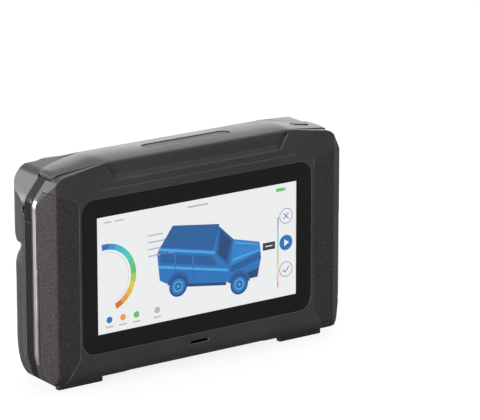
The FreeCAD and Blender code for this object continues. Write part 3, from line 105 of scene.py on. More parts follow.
def paintedEdgeLightSeamShade(tree, edge, colour, light, highlightStrength):
    # painted highlight lightens the edges, and painted shade darkens the seams that ambient
    # occlusion finds
    shape = addNode(tree, "ShaderNodeNewGeometry")
    turn = addNode(tree, "ShaderNodeVectorMath", {"operation": "DOT_PRODUCT"},
                   {0: edge.outputs["Normal"], 1: shape.outputs["Normal"]})
    # painted highlight: grows where the bevelled normal turns away from the true one, at an edge
    edgeHighlightMask = addNode(tree, "ShaderNodeMapRange",
                     {"From Min": 0.995, "From Max": 0.86, "To Max": highlightStrength},
                     {"Value": turn.outputs["Value"]})
    # painted shade: seams and hollows darken where ambient occlusion finds them
    nook = addNode(tree, "ShaderNodeAmbientOcclusion", {"samples": 6, "Distance": 2.2 * mm})
    shade = addNode(tree, "ShaderNodeMapRange",
                    {"From Min": 0.45, "From Max": 0.92, "To Min": 0.12, "To Max": 1.0},
                    {"Value": nook.outputs["AO"]})
    shownHighlight = addNode(tree, "ShaderNodeMath", {"operation": "MULTIPLY"},
                   {0: edgeHighlightMask.outputs["Result"], 1: shade.outputs["Result"]})
    edgeHighlighted = addNode(tree, "ShaderNodeMix", {"data_type": "RGBA", 7: toLinear(light)},
                    {0: shownHighlight.outputs[0], 6: colour})
    return addNode(tree, "ShaderNodeMix", {"data_type": "RGBA", "blend_type": "MULTIPLY", 0: 1.0},
                   {6: edgeHighlighted.outputs[2], 7: shade.outputs["Result"]}).outputs[2]


# seats of the optics

# places in mm: along a pod (u) and up (w) from its middle, X and Y of the case otherwise
optics = {"podX": 63.0, "faceY": 17.75, "eyeZ": 105.7, "toeIn": 12.7, "lensU": -8.2, "sideU": 16.3,
          "tinyU": 14.5, "tinyW": 9.6, "lampCircle": 12.95, "windowY": 11.05}
# clear eyes of a pod window, as radii in mm
podClear = {"lens": 8.2, "side": 4.9, "tiny": 2.7, "lamp": 3.8}
# devices behind the centre window: X of the round and square ones; X, w and lean of the slits
windowMarks = {"round": (29.6,), "square": (12.7, -25.4),
               "slits": ((0.6, 5.7, 0), (0.5, -5.8, 0), (-11.5, 5.6, 26), (-11.6, -6.0, -26))}
windowClear = {"round": 4.6, "square": 5.4, "slit": 4.7}


def podFrame(hand):
    # columns: along the pod, up, and out of its face
    turn = math.radians(optics["toeIn"])
    along = Vector((-math.cos(turn), -hand * math.sin(turn), 0))
    out = Vector((-hand * math.sin(turn), math.cos(turn), 0))
    axes = Matrix((along, Vector((0, 0, 1)), out)).transposed().to_4x4()
    centre = Vector((hand * optics["podX"], optics["faceY"], optics["eyeZ"])) * mm
    return Matrix.Translation(centre) @ axes


def windowFrame():
    # the same axes for the centre window, which looks straight out
    axes = Matrix(((-1, 0, 0), (0, 0, 1), (0, 1, 0))).transposed().to_4x4()
    return Matrix.Translation(Vector((0, optics["windowY"], optics["eyeZ"])) * mm) @ axes


def podEyes():
    # (u, w, radius) of the lens, the side camera, two marker lamps and the ring of six lamps
    lensU, tinyU, tinyW = optics["lensU"], optics["tinyU"], optics["tinyW"]
    spots = [(lensU, 0, podClear["lens"]), (optics["sideU"], 0, podClear["side"]),
             (tinyU, -tinyW, podClear["tiny"]), (tinyU, tinyW, podClear["tiny"])]
    for angle in range(-150, 211, 60):
        turn = math.radians(angle)
        spots.append((lensU + optics["lampCircle"] * math.cos(turn),
                      optics["lampCircle"] * math.sin(turn), podClear["lamp"]))
    return spots


def windowEyes():
    spots = [(-x, 0, windowClear["round"]) for x in windowMarks["round"]]
    spots += [(-x, 0, windowClear["square"]) for x in windowMarks["square"]]
    return spots + [(-x, w, windowClear["slit"]) for x, w, lean in windowMarks["slits"]]


# finishes

def mouldedPlastic(name, setup):
    # injection-moulded plastic: a slightly uneven gloss, eased edges, and an even eroded grain
    # that is drawn coarser than the real one, so that it shows
    material, tree, shader, place = startFinish(name, {
        "Roughness": setup["roughness"], "IOR": 1.5,
        "Specular IOR Level": setup.get("specular", 0.5),
        "Coat Weight": setup.get("coat", 0.0), "Coat Roughness": 0.25})
    grain = addNode(tree, "ShaderNodeTexNoise",
                    {"Scale": perMetre(setup["grain"]), "Detail": 3.0, "Roughness": 0.6},
                    {"Vector": place})
    cloud = addNode(tree, "ShaderNodeTexNoise",
                    {"Scale": perMetre(setup["cloud"]), "Detail": 4.0}, {"Vector": place})
    tone = addNode(tree, "ShaderNodeMix", {"data_type": "RGBA", 6: toLinear(setup["dark"]),
                                           7: toLinear(setup["light"])}, {0: cloud.outputs["Fac"]})
    fleck = addNode(tree, "ShaderNodeMapRange", {"From Min": 0.3, "From Max": 0.7, "To Min": 0.9,
                                                 "To Max": 1.1}, {"Value": grain.outputs["Fac"]})
    colour = addNode(tree, "ShaderNodeMix", {"data_type": "RGBA", "blend_type": "MULTIPLY", 0: 1.0},
                     {6: tone.outputs[2], 7: fleck.outputs["Result"]})
    gloss = addNode(tree, "ShaderNodeMapRange",
                    {"From Min": 0.3, "From Max": 0.7, "To Min": setup["roughness"] - 0.05,
                     "To Max": setup["roughness"] + 0.07}, {"Value": cloud.outputs["Fac"]})
    edge = addNode(tree, "ShaderNodeBevel", {"samples": 6, "Radius": setup["edge"] * mm})
    bump = addNode(tree, "ShaderNodeBump",
                   {"Strength": setup["bump"], "Distance": setup["depth"] * mm},
                   {"Height": grain.outputs["Fac"], "Normal": edge.outputs["Normal"]})
    # painted edge highlights and painted seam shade go into the base colour
    edgeLitSeamShaded = paintedEdgeLightSeamShade(tree, edge, colour.outputs[2], "#8d8b90", 0.5)
    feed(tree, shader, {"Base Color": edgeLitSeamShaded, "Roughness": gloss.outputs["Result"],
                        "Normal": bump.outputs["Normal"]})
    if "plated" in setup:
        # a satin chrome strip plated onto the flanks of the moulding
        strip = withinBox(tree, place, setup["plated"])
        metal = addNode(tree, "ShaderNodeBsdfPrincipled",
                        {"Base Color": toLinear("#c9c8cb"), "Metallic": 1.0},
                        {"Roughness": gloss.outputs["Result"], "Normal": edge.outputs["Normal"]})
        blend = addNode(tree, "ShaderNodeMixShader", {},
                        {0: strip, 1: shader.outputs["BSDF"], 2: metal.outputs["BSDF"]})
        feed(tree, tree.nodes["Material Output"], {"Surface": blend.outputs["Shader"]})
    return material


def mouldedRubber(name, setup):
    # silicone rubber with a fine pebbled leather grain pressed in by the mould, its crevices
    # painted darker and pebble tops paler
    material, tree, shader, place = startFinish(name, {"IOR": 1.45, "Specular IOR Level": 0.45})
    pebble = addNode(tree, "ShaderNodeTexVoronoi",
                     {"feature": "SMOOTH_F1", "Scale": perMetre(setup["pebble"]),
                      "Smoothness": 0.6}, {"Vector": place})
    dust = addNode(tree, "ShaderNodeTexNoise", {"Scale": perMetre(9.0), "Detail": 5.0},
                   {"Vector": place})
    hills = addNode(tree, "ShaderNodeMapRange",
                    {"From Min": 0.1, "From Max": 0.6, "To Min": 1.0, "To Max": 0.0},
                    {"Value": pebble.outputs["Distance"]})
    # painted shade in the crevices between pebbles and painted highlight on their tops
    tone = addNode(tree, "ShaderNodeMix",
                   {"data_type": "RGBA", 6: toLinear(setup["dark"]), 7: toLinear(setup["light"])},
                   {0: hills.outputs["Result"]})
    rough = addNode(tree, "ShaderNodeMapRange", {"To Min": setup["roughness"] - 0.07,
                                                 "To Max": setup["roughness"] + 0.09},
                    {"Value": dust.outputs["Fac"]})
    edge = addNode(tree, "ShaderNodeBevel", {"samples": 6, "Radius": setup["edge"] * mm})
    bump = addNode(tree, "ShaderNodeBump", {"Strength": setup["bump"], "Distance": 0.08 * mm},
                   {"Height": hills.outputs["Result"], "Normal": edge.outputs["Normal"]})
    # painted edge highlights and painted seam shade go into the base colour
    edgeLitSeamShaded = paintedEdgeLightSeamShade(tree, edge, tone.outputs[2], "#5b585e", 0.3)
    feed(tree, shader, {"Base Color": edgeLitSeamShaded, "Roughness": rough.outputs["Result"],
                        "Normal": bump.outputs["Normal"]})
    return material


def sprayedPaint(name, setup):
    # satin two-coat paint with aluminium flake over plastic: soft orange peel, and a sparkle from
    # flake that is drawn coarser than the real one, so that it shows
    material, tree, shader, place = startFinish(name, {
        "Roughness": setup["roughness"], "Metallic": setup["metallic"],
        "Coat Weight": 0.25, "Coat Roughness": 0.3})
    flake = addNode(tree, "ShaderNodeTexVoronoi", {"Scale": perMetre(0.45)}, {"Vector": place})
    peel = addNode(tree, "ShaderNodeTexNoise", {"Scale": perMetre(1.6), "Detail": 2.0},
                   {"Vector": place})
    cloud = addNode(tree, "ShaderNodeTexNoise", {"Scale": perMetre(40.0), "Detail": 3.0},
                    {"Vector": place})
    spark = addNode(tree, "ShaderNodeMapRange", {"To Min": 0.82, "To Max": 1.18},
                    {"Value": flake.outputs["Color"]})
    tone = addNode(tree, "ShaderNodeMix", {"data_type": "RGBA", 6: toLinear(setup["dark"]),
                                           7: toLinear(setup["light"])}, {0: cloud.outputs["Fac"]})
    colour = addNode(tree, "ShaderNodeMix", {"data_type": "RGBA", "blend_type": "MULTIPLY", 0: 1.0},
                     {6: tone.outputs[2], 7: spark.outputs["Result"]})
    rough = addNode(tree, "ShaderNodeMapRange", {"To Min": setup["roughness"] - 0.06,
                                                 "To Max": setup["roughness"] + 0.06},
                    {"Value": peel.outputs["Fac"]})
    edge = addNode(tree, "ShaderNodeBevel", {"samples": 6, "Radius": setup["edge"] * mm})
    bump = addNode(tree, "ShaderNodeBump", {"Strength": 0.25, "Distance": 0.03 * mm},
                   {"Height": peel.outputs["Fac"], "Normal": edge.outputs["Normal"]})
    # painted edge highlights and painted seam shade go into the base colour
    edgeLitSeamShaded = paintedEdgeLightSeamShade(tree, edge, colour.outputs[2], "#9a989d", 0.5)
    feed(tree, shader, {"Base Color": edgeLitSeamShaded, "Roughness": rough.outputs["Result"],
                        "Normal": bump.outputs["Normal"]})
    return material


def glossBlack(name, setup):
    # piano-black polycarbonate: deep, mirror-like, with faint wiping hairlines
    material, tree, shader, place = startFinish(name, {
        "Roughness": setup["roughness"], "IOR": 1.58})
    stretch = addNode(tree, "ShaderNodeMapping", {"Scale": (1.0, 1.0, 14.0)}, {"Vector": place})
    wipe = addNode(tree, "ShaderNodeTexNoise", {"Scale": perMetre(6.0), "Detail": 6.0},
                   {"Vector": stretch.outputs["Vector"]})
    tone = addNode(tree, "ShaderNodeMix", {"data_type": "RGBA", 6: toLinear(setup["dark"]),
                                           7: toLinear(setup["light"])}, {0: wipe.outputs["Fac"]})
    rough = addNode(tree, "ShaderNodeMapRange", {"To Min": setup["roughness"] - 0.03,
                                                 "To Max": setup["roughness"] + 0.08},
                    {"Value": wipe.outputs["Fac"]})
    edge = addNode(tree, "ShaderNodeBevel", {"samples": 6, "Radius": setup["edge"] * mm})
    feed(tree, shader, {"Base Color": tone.outputs[2], "Roughness": rough.outputs["Result"],
                        "Normal": edge.outputs["Normal"]})
    return material


def workedMetal(name, setup):
    # rolled, turned or cast metal: fine tool marks along one axis and a cloudy gloss
    material, tree, shader, place = startFinish(name, {
        "Metallic": 1.0, "Roughness": setup["roughness"]})
    stretch = addNode(tree, "ShaderNodeMapping", {"Scale": setup["marks"]}, {"Vector": place})
    lines = addNode(tree, "ShaderNodeTexNoise", {"Scale": perMetre(setup["grain"]), "Detail": 4.0},
                    {"Vector": stretch.outputs["Vector"]})
    tone = addNode(tree, "ShaderNodeMix", {"data_type": "RGBA", 6: toLinear(setup["dark"]),
                                           7: toLinear(setup["light"])}, {0: lines.outputs["Fac"]})
    rough = addNode(tree, "ShaderNodeMapRange", {"To Min": setup["roughness"] - 0.08,
                                                 "To Max": setup["roughness"] + 0.12},
                    {"Value": lines.outputs["Fac"]})
    bump = addNode(tree, "ShaderNodeBump", {"Strength": 0.3, "Distance": 0.02 * mm},
                   {"Height": lines.outputs["Fac"]})
    feed(tree, shader, {"Base Color": tone.outputs[2], "Roughness": rough.outputs["Result"],
                        "Normal": bump.outputs["Normal"]})
    return material


def printedWindow(name, seat, spots):
    # polished acrylic window, black ink screened on its back but for a clear eye over each device
    material, tree, shader, place = startFinish(name, {"IOR": 1.49})
    smear = addNode(tree, "ShaderNodeTexNoise", {"Scale": perMetre(14.0), "Detail": 5.0},
                    {"Vector": place})
    rough = addNode(tree, "ShaderNodeMapRange", {"To Min": 0.04, "To Max": 0.14},
                    {"Value": smear.outputs["Fac"]})
    ink = addNode(tree, "ShaderNodeMix", {"data_type": "RGBA", 6: toLinear("#050506"),
                                          7: toLinear("#0a090b")}, {0: smear.outputs["Fac"]})
    feed(tree, shader, {"Base Color": ink.outputs[2], "Roughness": rough.outputs["Result"]})
    eyes = []
    for u, w, radius in spots:
        centre = seat @ Vector((u * mm, w * mm, 0))
        away = addNode(tree, "ShaderNodeVectorMath", {"operation": "DISTANCE", 1: centre},
                       {0: place})
        near = addNode(tree, "ShaderNodeMath", {"operation": "LESS_THAN", 1: radius * mm},
                       {0: away.outputs["Value"]})
        eyes.append(near.outputs[0])
    clear = addNode(tree, "ShaderNodeBsdfTransparent", {"Color": toLinear("#f6f4f6")})
    shine = addNode(tree, "ShaderNodeBsdfGlossy", {"Color": toLinear("#ffffff")},
                    {"Roughness": rough.outputs["Result"]})
    pane = addNode(tree, "ShaderNodeMixShader", {0: 0.025},
                   {1: clear.outputs["BSDF"], 2: shine.outputs["BSDF"]})
    blend = addNode(tree, "ShaderNodeMixShader", {},
                    {0: combined(tree, "MAXIMUM", eyes), 1: shader.outputs["BSDF"],
                     2: pane.outputs["Shader"]})
    feed(tree, tree.nodes["Material Output"], {"Surface": blend.outputs["Shader"]})
    return material


def lensCoating(name, setup):
    # ground glass with a coloured anti-reflection coat (violet to green on the coated lens); a
    # paler rim tone is a painted sheen
    material, tree, shader, place = startFinish(name, {"Roughness": 0.03, "IOR": 1.7})
    facing = addNode(tree, "ShaderNodeLayerWeight", {"Blend": 0.35})
    smear = addNode(tree, "ShaderNodeTexNoise", {"Scale": perMetre(3.0), "Detail": 3.0},
                    {"Vector": place})
    # painted sheen: the base colour turns to the rim tone where the glass is seen edge-on
    tone = addNode(tree, "ShaderNodeMix",
                   {"data_type": "RGBA", 6: toLinear(setup["centre"]), 7: toLinear(setup["rim"])},
                   {0: facing.outputs["Facing"]})
    shine = addNode(tree, "ShaderNodeMapRange", {"To Min": 0.02, "To Max": 0.07},
                    {"Value": smear.outputs["Fac"]})
    feed(tree, shader, {"Base Color": tone.outputs[2], "Roughness": shine.outputs["Result"]})
    return material


def circuitBoard(name, setup):
    # solder mask over etched copper: faint track lines under a green satin skin, drawn coarser
    # than real tracks, so that they show
    material, tree, shader, place = startFinish(name, {"Roughness": 0.4})
    tracks = addNode(tree, "ShaderNodeTexBrick",
                     {"Scale": perMetre(6.0), "Mortar Size": 0.03,
                      "Color1": toLinear(setup["dark"]), "Color2": toLinear(setup["light"]),
                      "Mortar": toLinear(setup["track"])},
                     {"Vector": place})
    speck = addNode(tree, "ShaderNodeTexNoise", {"Scale": perMetre(0.8)}, {"Vector": place})
    bump = addNode(tree, "ShaderNodeBump", {"Strength": 0.3, "Distance": 0.03 * mm},
                   {"Height": speck.outputs["Fac"]})
    feed(tree, shader, {"Base Color": tracks.outputs["Color"], "Normal": bump.outputs["Normal"]})
    return material


def litColour(name, code, strength):
    # light-giving surface: a display colour or a warm chip under resin, with a faint mottle that
    # is drawn coarser than real pixels
    material, tree, shader, place = startFinish(name, {
        "Roughness": 0.4, "Base Color": toLinear("#050505"), "Emission Strength": strength})
    mottle = addNode(tree, "ShaderNodeTexNoise", {"Scale": perMetre(0.6)}, {"Vector": place})
    tone = addNode(tree, "ShaderNodeMapRange", {"To Min": 0.96, "To Max": 1.04},
                   {"Value": mottle.outputs["Fac"]})
    colour = addNode(tree, "ShaderNodeMix", {"data_type": "RGBA", "blend_type": "MULTIPLY", 0: 1.0,
                                             6: toLinear(code)}, {7: tone.outputs["Result"]})
    feed(tree, shader, {"Emission Color": colour.outputs[2]})
    return material


# lit area in mm, the face that the picture lies on, and a hair between its layers
screenSize = {"halfWidth": 68.15, "halfHeight": 34.07, "midZ": 64.0, "backY": -24.38, "hair": 0.01}


def coverGlass(name):
    # chemically hardened glass: black ink printed behind the border, clear over the picture
    material, tree, shader, place = startFinish(name, {"IOR": 1.52, "Specular IOR Level": 0.35})
    w, h, mid = screenSize["halfWidth"], screenSize["halfHeight"], screenSize["midZ"]
    inside = withinBox(tree, place, {"X": (-1, w), "Z": (mid - h, mid + h)})
    smear = addNode(tree, "ShaderNodeTexNoise", {"Scale": perMetre(18.0), "Detail": 6.0},
                    {"Vector": place})
    ink = addNode(tree, "ShaderNodeMix", {"data_type": "RGBA", 6: toLinear("#070608"),
                                          7: toLinear("#0c0b0d")}, {0: smear.outputs["Fac"]})
    rough = addNode(tree, "ShaderNodeMapRange", {"To Min": 0.04, "To Max": 0.16},
                    {"Value": smear.outputs["Fac"]})
    feed(tree, shader, {"Base Color": ink.outputs[2], "Roughness": rough.outputs["Result"]})
    clear = addNode(tree, "ShaderNodeBsdfTransparent", {"Color": toLinear("#fbfbfb")})
    shine = addNode(tree, "ShaderNodeBsdfGlossy", {"Color": toLinear("#ffffff"), "Roughness": 0.05})
    pane = addNode(tree, "ShaderNodeMixShader", {0: 0.03},
                   {1: clear.outputs["BSDF"], 2: shine.outputs["BSDF"]})
    blend = addNode(tree, "ShaderNodeMixShader", {},
                    {0: inside, 1: shader.outputs["BSDF"], 2: pane.outputs["Shader"]})
    feed(tree, tree.nodes["Material Output"], {"Surface": blend.outputs["Shader"]})
    return material


finishes = {
    "dark_shell_plastic": mouldedPlastic("sparkErodedAbs", {
        "dark": "#252326", "light": "#2c2a2d", "roughness": 0.38, "grain": 0.5, "cloud": 30.0,
        "bump": 0.35, "depth": 0.04, "edge": 0.5}),
    "titanium_paint": sprayedPaint("satinFlakePaint", {
        "dark": "#29272b", "light": "#302e32", "roughness": 0.33, "metallic": 0.2, "edge": 0.7}),
    "silver_grey_plastic": mouldedPlastic("paleTopPlastic", {
        "dark": "#282629", "light": "#302e31", "roughness": 0.32, "grain": 0.4, "cloud": 25.0,
        "bump": 0.25, "depth": 0.03, "edge": 0.5, "coat": 0.3}),
    "frame_black": mouldedPlastic("glassFilledNylon", {
        "dark": "#0c0b0d", "light": "#121113", "roughness": 0.5, "grain": 0.45, "cloud": 20.0,
        "bump": 0.4, "depth": 0.04, "edge": 0.3, "specular": 0.12}),
    "grip_rubber": mouldedRubber("pebbledSilicone", {
        "dark": "#171518", "light": "#343135", "roughness": 0.48, "pebble": 0.95, "bump": 0.5,
        "edge": 0.6}),
    "cover_glass": coverGlass("inkedCoverGlass"),
    "screen_panel": glossBlack("displayBackPlate", {
        "dark": "#101012", "light": "#17171a", "roughness": 0.3, "edge": 0.1}),
    "formed_steel": workedMetal("stampedSteel", {
        "dark": "#8d8f92", "light": "#b3b5b8", "roughness": 0.3, "grain": 1.2, "marks": (1, 1, 8)}),
    "inlay_brown": mouldedPlastic("ribbedInlayPlastic", {
        "dark": "#4a4546", "light": "#565152", "roughness": 0.5, "grain": 0.4, "cloud": 12.0,
        "bump": 0.4, "depth": 0.04, "edge": 0.15}),
    "button_grey": mouldedPlastic("buttonPolycarbonate", {
        "dark": "#5d5c5e", "light": "#686769", "roughness": 0.38, "grain": 0.4, "cloud": 8.0,
        "bump": 0.2, "depth": 0.02, "edge": 0.3}),
    "board_green": circuitBoard("solderMaskBoard", {
        "dark": "#123b26", "light": "#174a2f", "track": "#2b6b47"}),
    "board_black": mouldedPlastic("blackSolderMask", {
        "dark": "#09090a", "light": "#0f0f11", "roughness": 0.45, "grain": 0.5, "cloud": 6.0,
        "bump": 0.2, "depth": 0.02, "edge": 0.1}),
    "chip_black": mouldedPlastic("epoxyChipCase", {
        "dark": "#18181a", "light": "#222224", "roughness": 0.55, "grain": 0.3, "cloud": 6.0,
        "bump": 0.4, "depth": 0.02, "edge": 0.1}),
    "black_gloss": glossBlack("pianoBlackPolycarbonate", {
        "dark": "#0c0b0d", "light": "#131214", "roughness": 0.12, "edge": 0.4}),
    "window_glass": printedWindow("printedCentreWindow", windowFrame(), windowEyes()),
    "lens_glass": lensCoating("coatedLensGlass", {"centre": "#1a1226", "rim": "#2c4a44"}),
    "black_aluminium": workedMetal("blackAnodisedAluminium", {
        "dark": "#3a393c", "light": "#57555a", "roughness": 0.35, "grain": 0.6,
        "marks": (1, 1, 6)}),
    "led_epoxy": litColour("litLedResin", "#eceadf", 1.0),
    "brass_module": workedMetal("turnedBrass", {
        "dark": "#8a5a4c", "light": "#b98574", "roughness": 0.3, "grain": 0.5, "marks": (1, 6, 1)}),
    "bench_alloy": workedMetal("milledAluminium", {
        "dark": "#55565a", "light": "#6f7074", "roughness": 0.4, "grain": 0.8, "marks": (6, 1, 1)}),
    "cell_wrap": mouldedPlastic("shrinkWrapPvc", {
        "dark": "#23537d", "light": "#2b628f", "roughness": 0.3, "grain": 0.8, "cloud": 15.0,
        "bump": 0.2, "depth": 0.02, "edge": 0.1}),
    "flex_amber": mouldedPlastic("polyimideRibbon", {
        "dark": "#9a5a1c", "light": "#b36c26", "roughness": 0.35, "grain": 0.6, "cloud": 8.0,
        "bump": 0.2, "depth": 0.02, "edge": 0.05}),
}
# the front moulding carries a plated strip along each flank, in front of the seam
finishes["plated_shell"] = mouldedPlastic("platedShellAbs", {
    "dark": "#252326", "light": "#2c2a2d", "roughness": 0.36, "grain": 0.5, "cloud": 30.0,
    "bump": 0.35, "depth": 0.04, "edge": 0.5,
    "plated": {"X": (99, 110), "Y": (-18.25, -15.5), "Z": (17, 111.5)}})
# the steel mesh behind the speaker slot is given a near-black colour as painted shade, so that the
# slot reads dark
finishes["dark_mesh"] = workedMetal("slotShadeMesh", {
    "dark": "#0d0d0e", "light": "#151516", "roughness": 0.5, "grain": 0.5, "marks": (1, 1, 1)})
finishes["clear_lens"] = lensCoating("clearLampResin", {"centre": "#3c3a40", "rim": "#8d8a92"})
# nodes that take another finish than the one that their CAD material names
special = {"marker_lamps": "clear_lens", "front_shell": "plated_shell", "speaker_mesh": "dark_mesh"}
for side, hand in hands:
    glass = "pod_glass_" + side
    finishes[glass] = printedWindow("printedPodWindow" + side.title(), podFrame(hand), podEyes())
    special["pod_window_" + side] = glass
for name, node in nodes.items():
    for slot in node.material_slots:
        slot.material = finishes[special.get(name, slot.material.name)]
print("finishes on", len(nodes), "CAD nodes")


# room, lamps and camera

cameraSetup = {"place": (-1.04324, -1.56157, 0.62577), "right": (0.82019, -0.57209, -0.00025),
               "up": (0.15833, 0.22657, 0.96104), "lens": 257.34, "sensor": 36.0}


def placeCamera(setup):
    right, up = Vector(setup["right"]).normalized(), Vector(setup["up"]).normalized()
    back = right.cross(up)
    camera = bpy.data.objects.new("camera", bpy.data.cameras.new("camera"))
    turn = Matrix((right, up, back)).transposed().to_4x4()
    camera.matrix_world = Matrix.Translation(setup["place"]) @ turn
    camera.data.lens = setup["lens"]
    camera.data.sensor_width = setup["sensor"]
    camera.data.clip_start, camera.data.clip_end = 0.05, 50
    bpy.context.scene.collection.objects.link(camera)
    bpy.context.scene.camera = camera


lampAim = (0, 0, 0.06)
lampSetup = {
    "overhead": {"place": (0.1, 0.4, 1.6), "size": 1.4, "power": 14, "tone": "#ffffff"},
    "frontLeft": {"place": (-2.0, -1.0, 0.3), "size": 1.5, "power": 130, "tone": "#fff6fb"},
    "rightSoft": {"place": (1.7, 0.2, 1.5), "size": 1.4, "power": 20, "tone": "#ffffff"},
    "rearSoft": {"place": (-1.5, 1.7, 0.6), "size": 1.5, "power": 34, "tone": "#ffffff"},
}


def hangLamps(setup):
    for name, facts in setup.items():
        light = bpy.data.lights.new(name, "AREA")
        light.shape, light.size, light.energy = "SQUARE", facts["size"], facts["power"]
        light.color = toLinear(facts["tone"])[:3]
        lamp = bpy.data.objects.new(name, light)
        aim = Vector(lampAim) - Vector(facts["place"])
        turn = aim.to_track_quat("-Z", "Y").to_matrix().to_4x4()
        lamp.matrix_world = Matrix.Translation(facts["place"]) @ turn
        bpy.context.scene.collection.objects.link(lamp)


# half a side in metres, the grey that lights the object from below, and how white it is seen
floorSetup = {"half": 8, "tone": "#8c8c8c", "white": 0.85}


def layFloor(setup):
    form = bmesh.new()
    bmesh.ops.create_grid(form, x_segments=2, y_segments=2, size=setup["half"])
    mesh = bpy.data.meshes.new("floor")
    form.to_mesh(mesh)
    form.free()
    floor = bpy.data.objects.new("floor", mesh)
    bpy.context.scene.collection.objects.link(floor)
    # matt paper sweep, lifted to white where the camera looks at it, with the shadow kept
    material, tree, shader, place = startFinish("mattPaperSweep", {
        "Base Color": toLinear(setup["tone"]), "Specular IOR Level": 0.1})
    path = addNode(tree, "ShaderNodeLightPath")
    fibre = addNode(tree, "ShaderNodeTexNoise", {"Scale": perMetre(2.0)}, {"Vector": place})
    rough = addNode(tree, "ShaderNodeMapRange", {"To Min": 0.85, "To Max": 0.95},
                    {"Value": fibre.outputs["Fac"]})
    feed(tree, shader, {"Roughness": rough.outputs["Result"]})
    glow = addNode(tree, "ShaderNodeEmission", {"Color": toLinear("#ffffff"), "Strength": 1.0})
    paper = addNode(tree, "ShaderNodeBsdfDiffuse", {"Color": toLinear("#ffffff")})
    seen = addNode(tree, "ShaderNodeMixShader", {0: setup["white"]},
                   {1: paper.outputs["BSDF"], 2: glow.outputs["Emission"]})
    blend = addNode(tree, "ShaderNodeMixShader", {},
                    {0: path.outputs["Is Camera Ray"], 1: shader.outputs["BSDF"],
                     2: seen.outputs["Shader"]})
    feed(tree, tree.nodes["Material Output"], {"Surface": blend.outputs["Shader"]})
    mesh.materials.append(material)


# strength on matt surfaces, strengths that gloss sees low and high, and heights between them
roomLight = {"soft": 0.32, "horizon": 1.7, "zenith": 0.35, "horizonTop": 0.3, "zenithFrom": 0.55}


def lightRoom(setup):
    # even soft light; gloss sees a bright low backdrop that darkens overhead
    world = bpy.data.worlds.new("studio")
    bpy.context.scene.world = world
    world.use_nodes = True
    tree = world.node_tree
    path = addNode(tree, "ShaderNodeLightPath")
    way = addNode(tree, "ShaderNodeTexCoord")
    axes = addNode(tree, "ShaderNodeSeparateXYZ", {}, {"Vector": way.outputs["Generated"]})
    sweep = addNode(tree, "ShaderNodeMapRange",
                    {"interpolation_type": "SMOOTHSTEP", "From Min": setup["horizonTop"],
                     "From Max": setup["zenithFrom"], "To Min": setup["horizon"],
                     "To Max": setup["zenith"]}, {"Value": axes.outputs["Z"]})
    shine = addNode(tree, "ShaderNodeMix", {"data_type": "FLOAT", 2: setup["soft"]},
                    {0: path.outputs["Is Glossy Ray"], 3: sweep.outputs["Result"]})
    level = addNode(tree, "ShaderNodeMix", {"data_type": "FLOAT", 3: 1.0},
                    {0: path.outputs["Is Camera Ray"], 2: shine.outputs[0]})
    sky = tree.nodes["Background"]
    sky.inputs["Color"].default_value = toLinear("#ffffff")
    tree.links.new(level.outputs[0], sky.inputs["Strength"])


placeCamera(cameraSetup)
hangLamps(lampSetup)
layFloor(floorSetup)
lightRoom(roomLight)
bpy.context.scene.view_settings.view_transform = "Standard"
print("room and camera set")


# picture on the screen: plain signs only

pictureTones = {
    "white": "#f5f6f7", "grey": "#b9bdc3", "ink": "#2d3036", "blue": "#1873c0",
    "midBlue": "#2484d0", "deepBlue": "#145c9c", "roofBlue": "#175f9f", "skyBlue": "#4ba9e8",
    "navy": "#0e4478",
    "azure": "#2b96cf", "cyan": "#35b8d8", "aqua": "#43c8cc", "teal": "#4fd0bd",
    "mint": "#58cb92", "green": "#63c66a", "lime": "#a9cf50", "yellow": "#e9d23a",
    "amber": "#edba3c", "orange": "#f0a040", "red": "#e0702f",
}
screenGlow = 0.95
lit = {tone: litColour("display" + tone[0].upper() + tone[1:], code, screenGlow)
       for tone, code in pictureTones.items()}


class Picture:
    # flat marks, each a hair thick, kept in one mesh with a material for each tone
    def __init__(self, name):
        self.name = name
        self.form = bmesh.new()
        self.tones = list(pictureTones)

    def lay(self, points, tone, lift):
        y = (screenSize["backY"] - lift * screenSize["hair"]) * mm
        corners = [self.form.verts.new((x * mm, y, (z + screenSize["midZ"]) * mm))
                   for x, z in points]
        face = self.form.faces.new(corners)
        face.normal_update()
        if face.normal.y > 0:
            face.normal_flip()
        face.material_index = self.tones.index(tone)

    def bar(self, x0, z0, x1, z1, tone, lift=1):
        self.lay([(x0, z0), (x1, z0), (x1, z1), (x0, z1)], tone, lift)

    def disc(self, x, z, radius, tone, lift=1, start=0, stop=360, inner=0):
        # whole discs, and ring sectors in short steps where an inner radius is given
        steps = max(8, int(abs(stop - start) / 7))
        ring = [math.radians(start + (stop - start) * i / steps) for i in range(steps + 1)]

        def at(r, a):
            return x + r * math.cos(a), z + r * math.sin(a)

        if not inner:
            self.lay([at(radius, a) for a in ring[:-1]], tone, lift)
            return
        for a, b in zip(ring, ring[1:]):
            self.lay([at(inner, a), at(radius, a), at(radius, b), at(inner, b)], tone, lift)

    def finish(self):
        mesh = bpy.data.meshes.new(self.name)
        bmesh.ops.remove_doubles(self.form, verts=self.form.verts, dist=1e-7)
        self.form.to_mesh(mesh)
        self.form.free()
        for tone in self.tones:
            mesh.materials.append(lit[tone])
        piece = bpy.data.objects.new(self.name, mesh)
        bpy.context.scene.collection.objects.link(piece)
        return piece


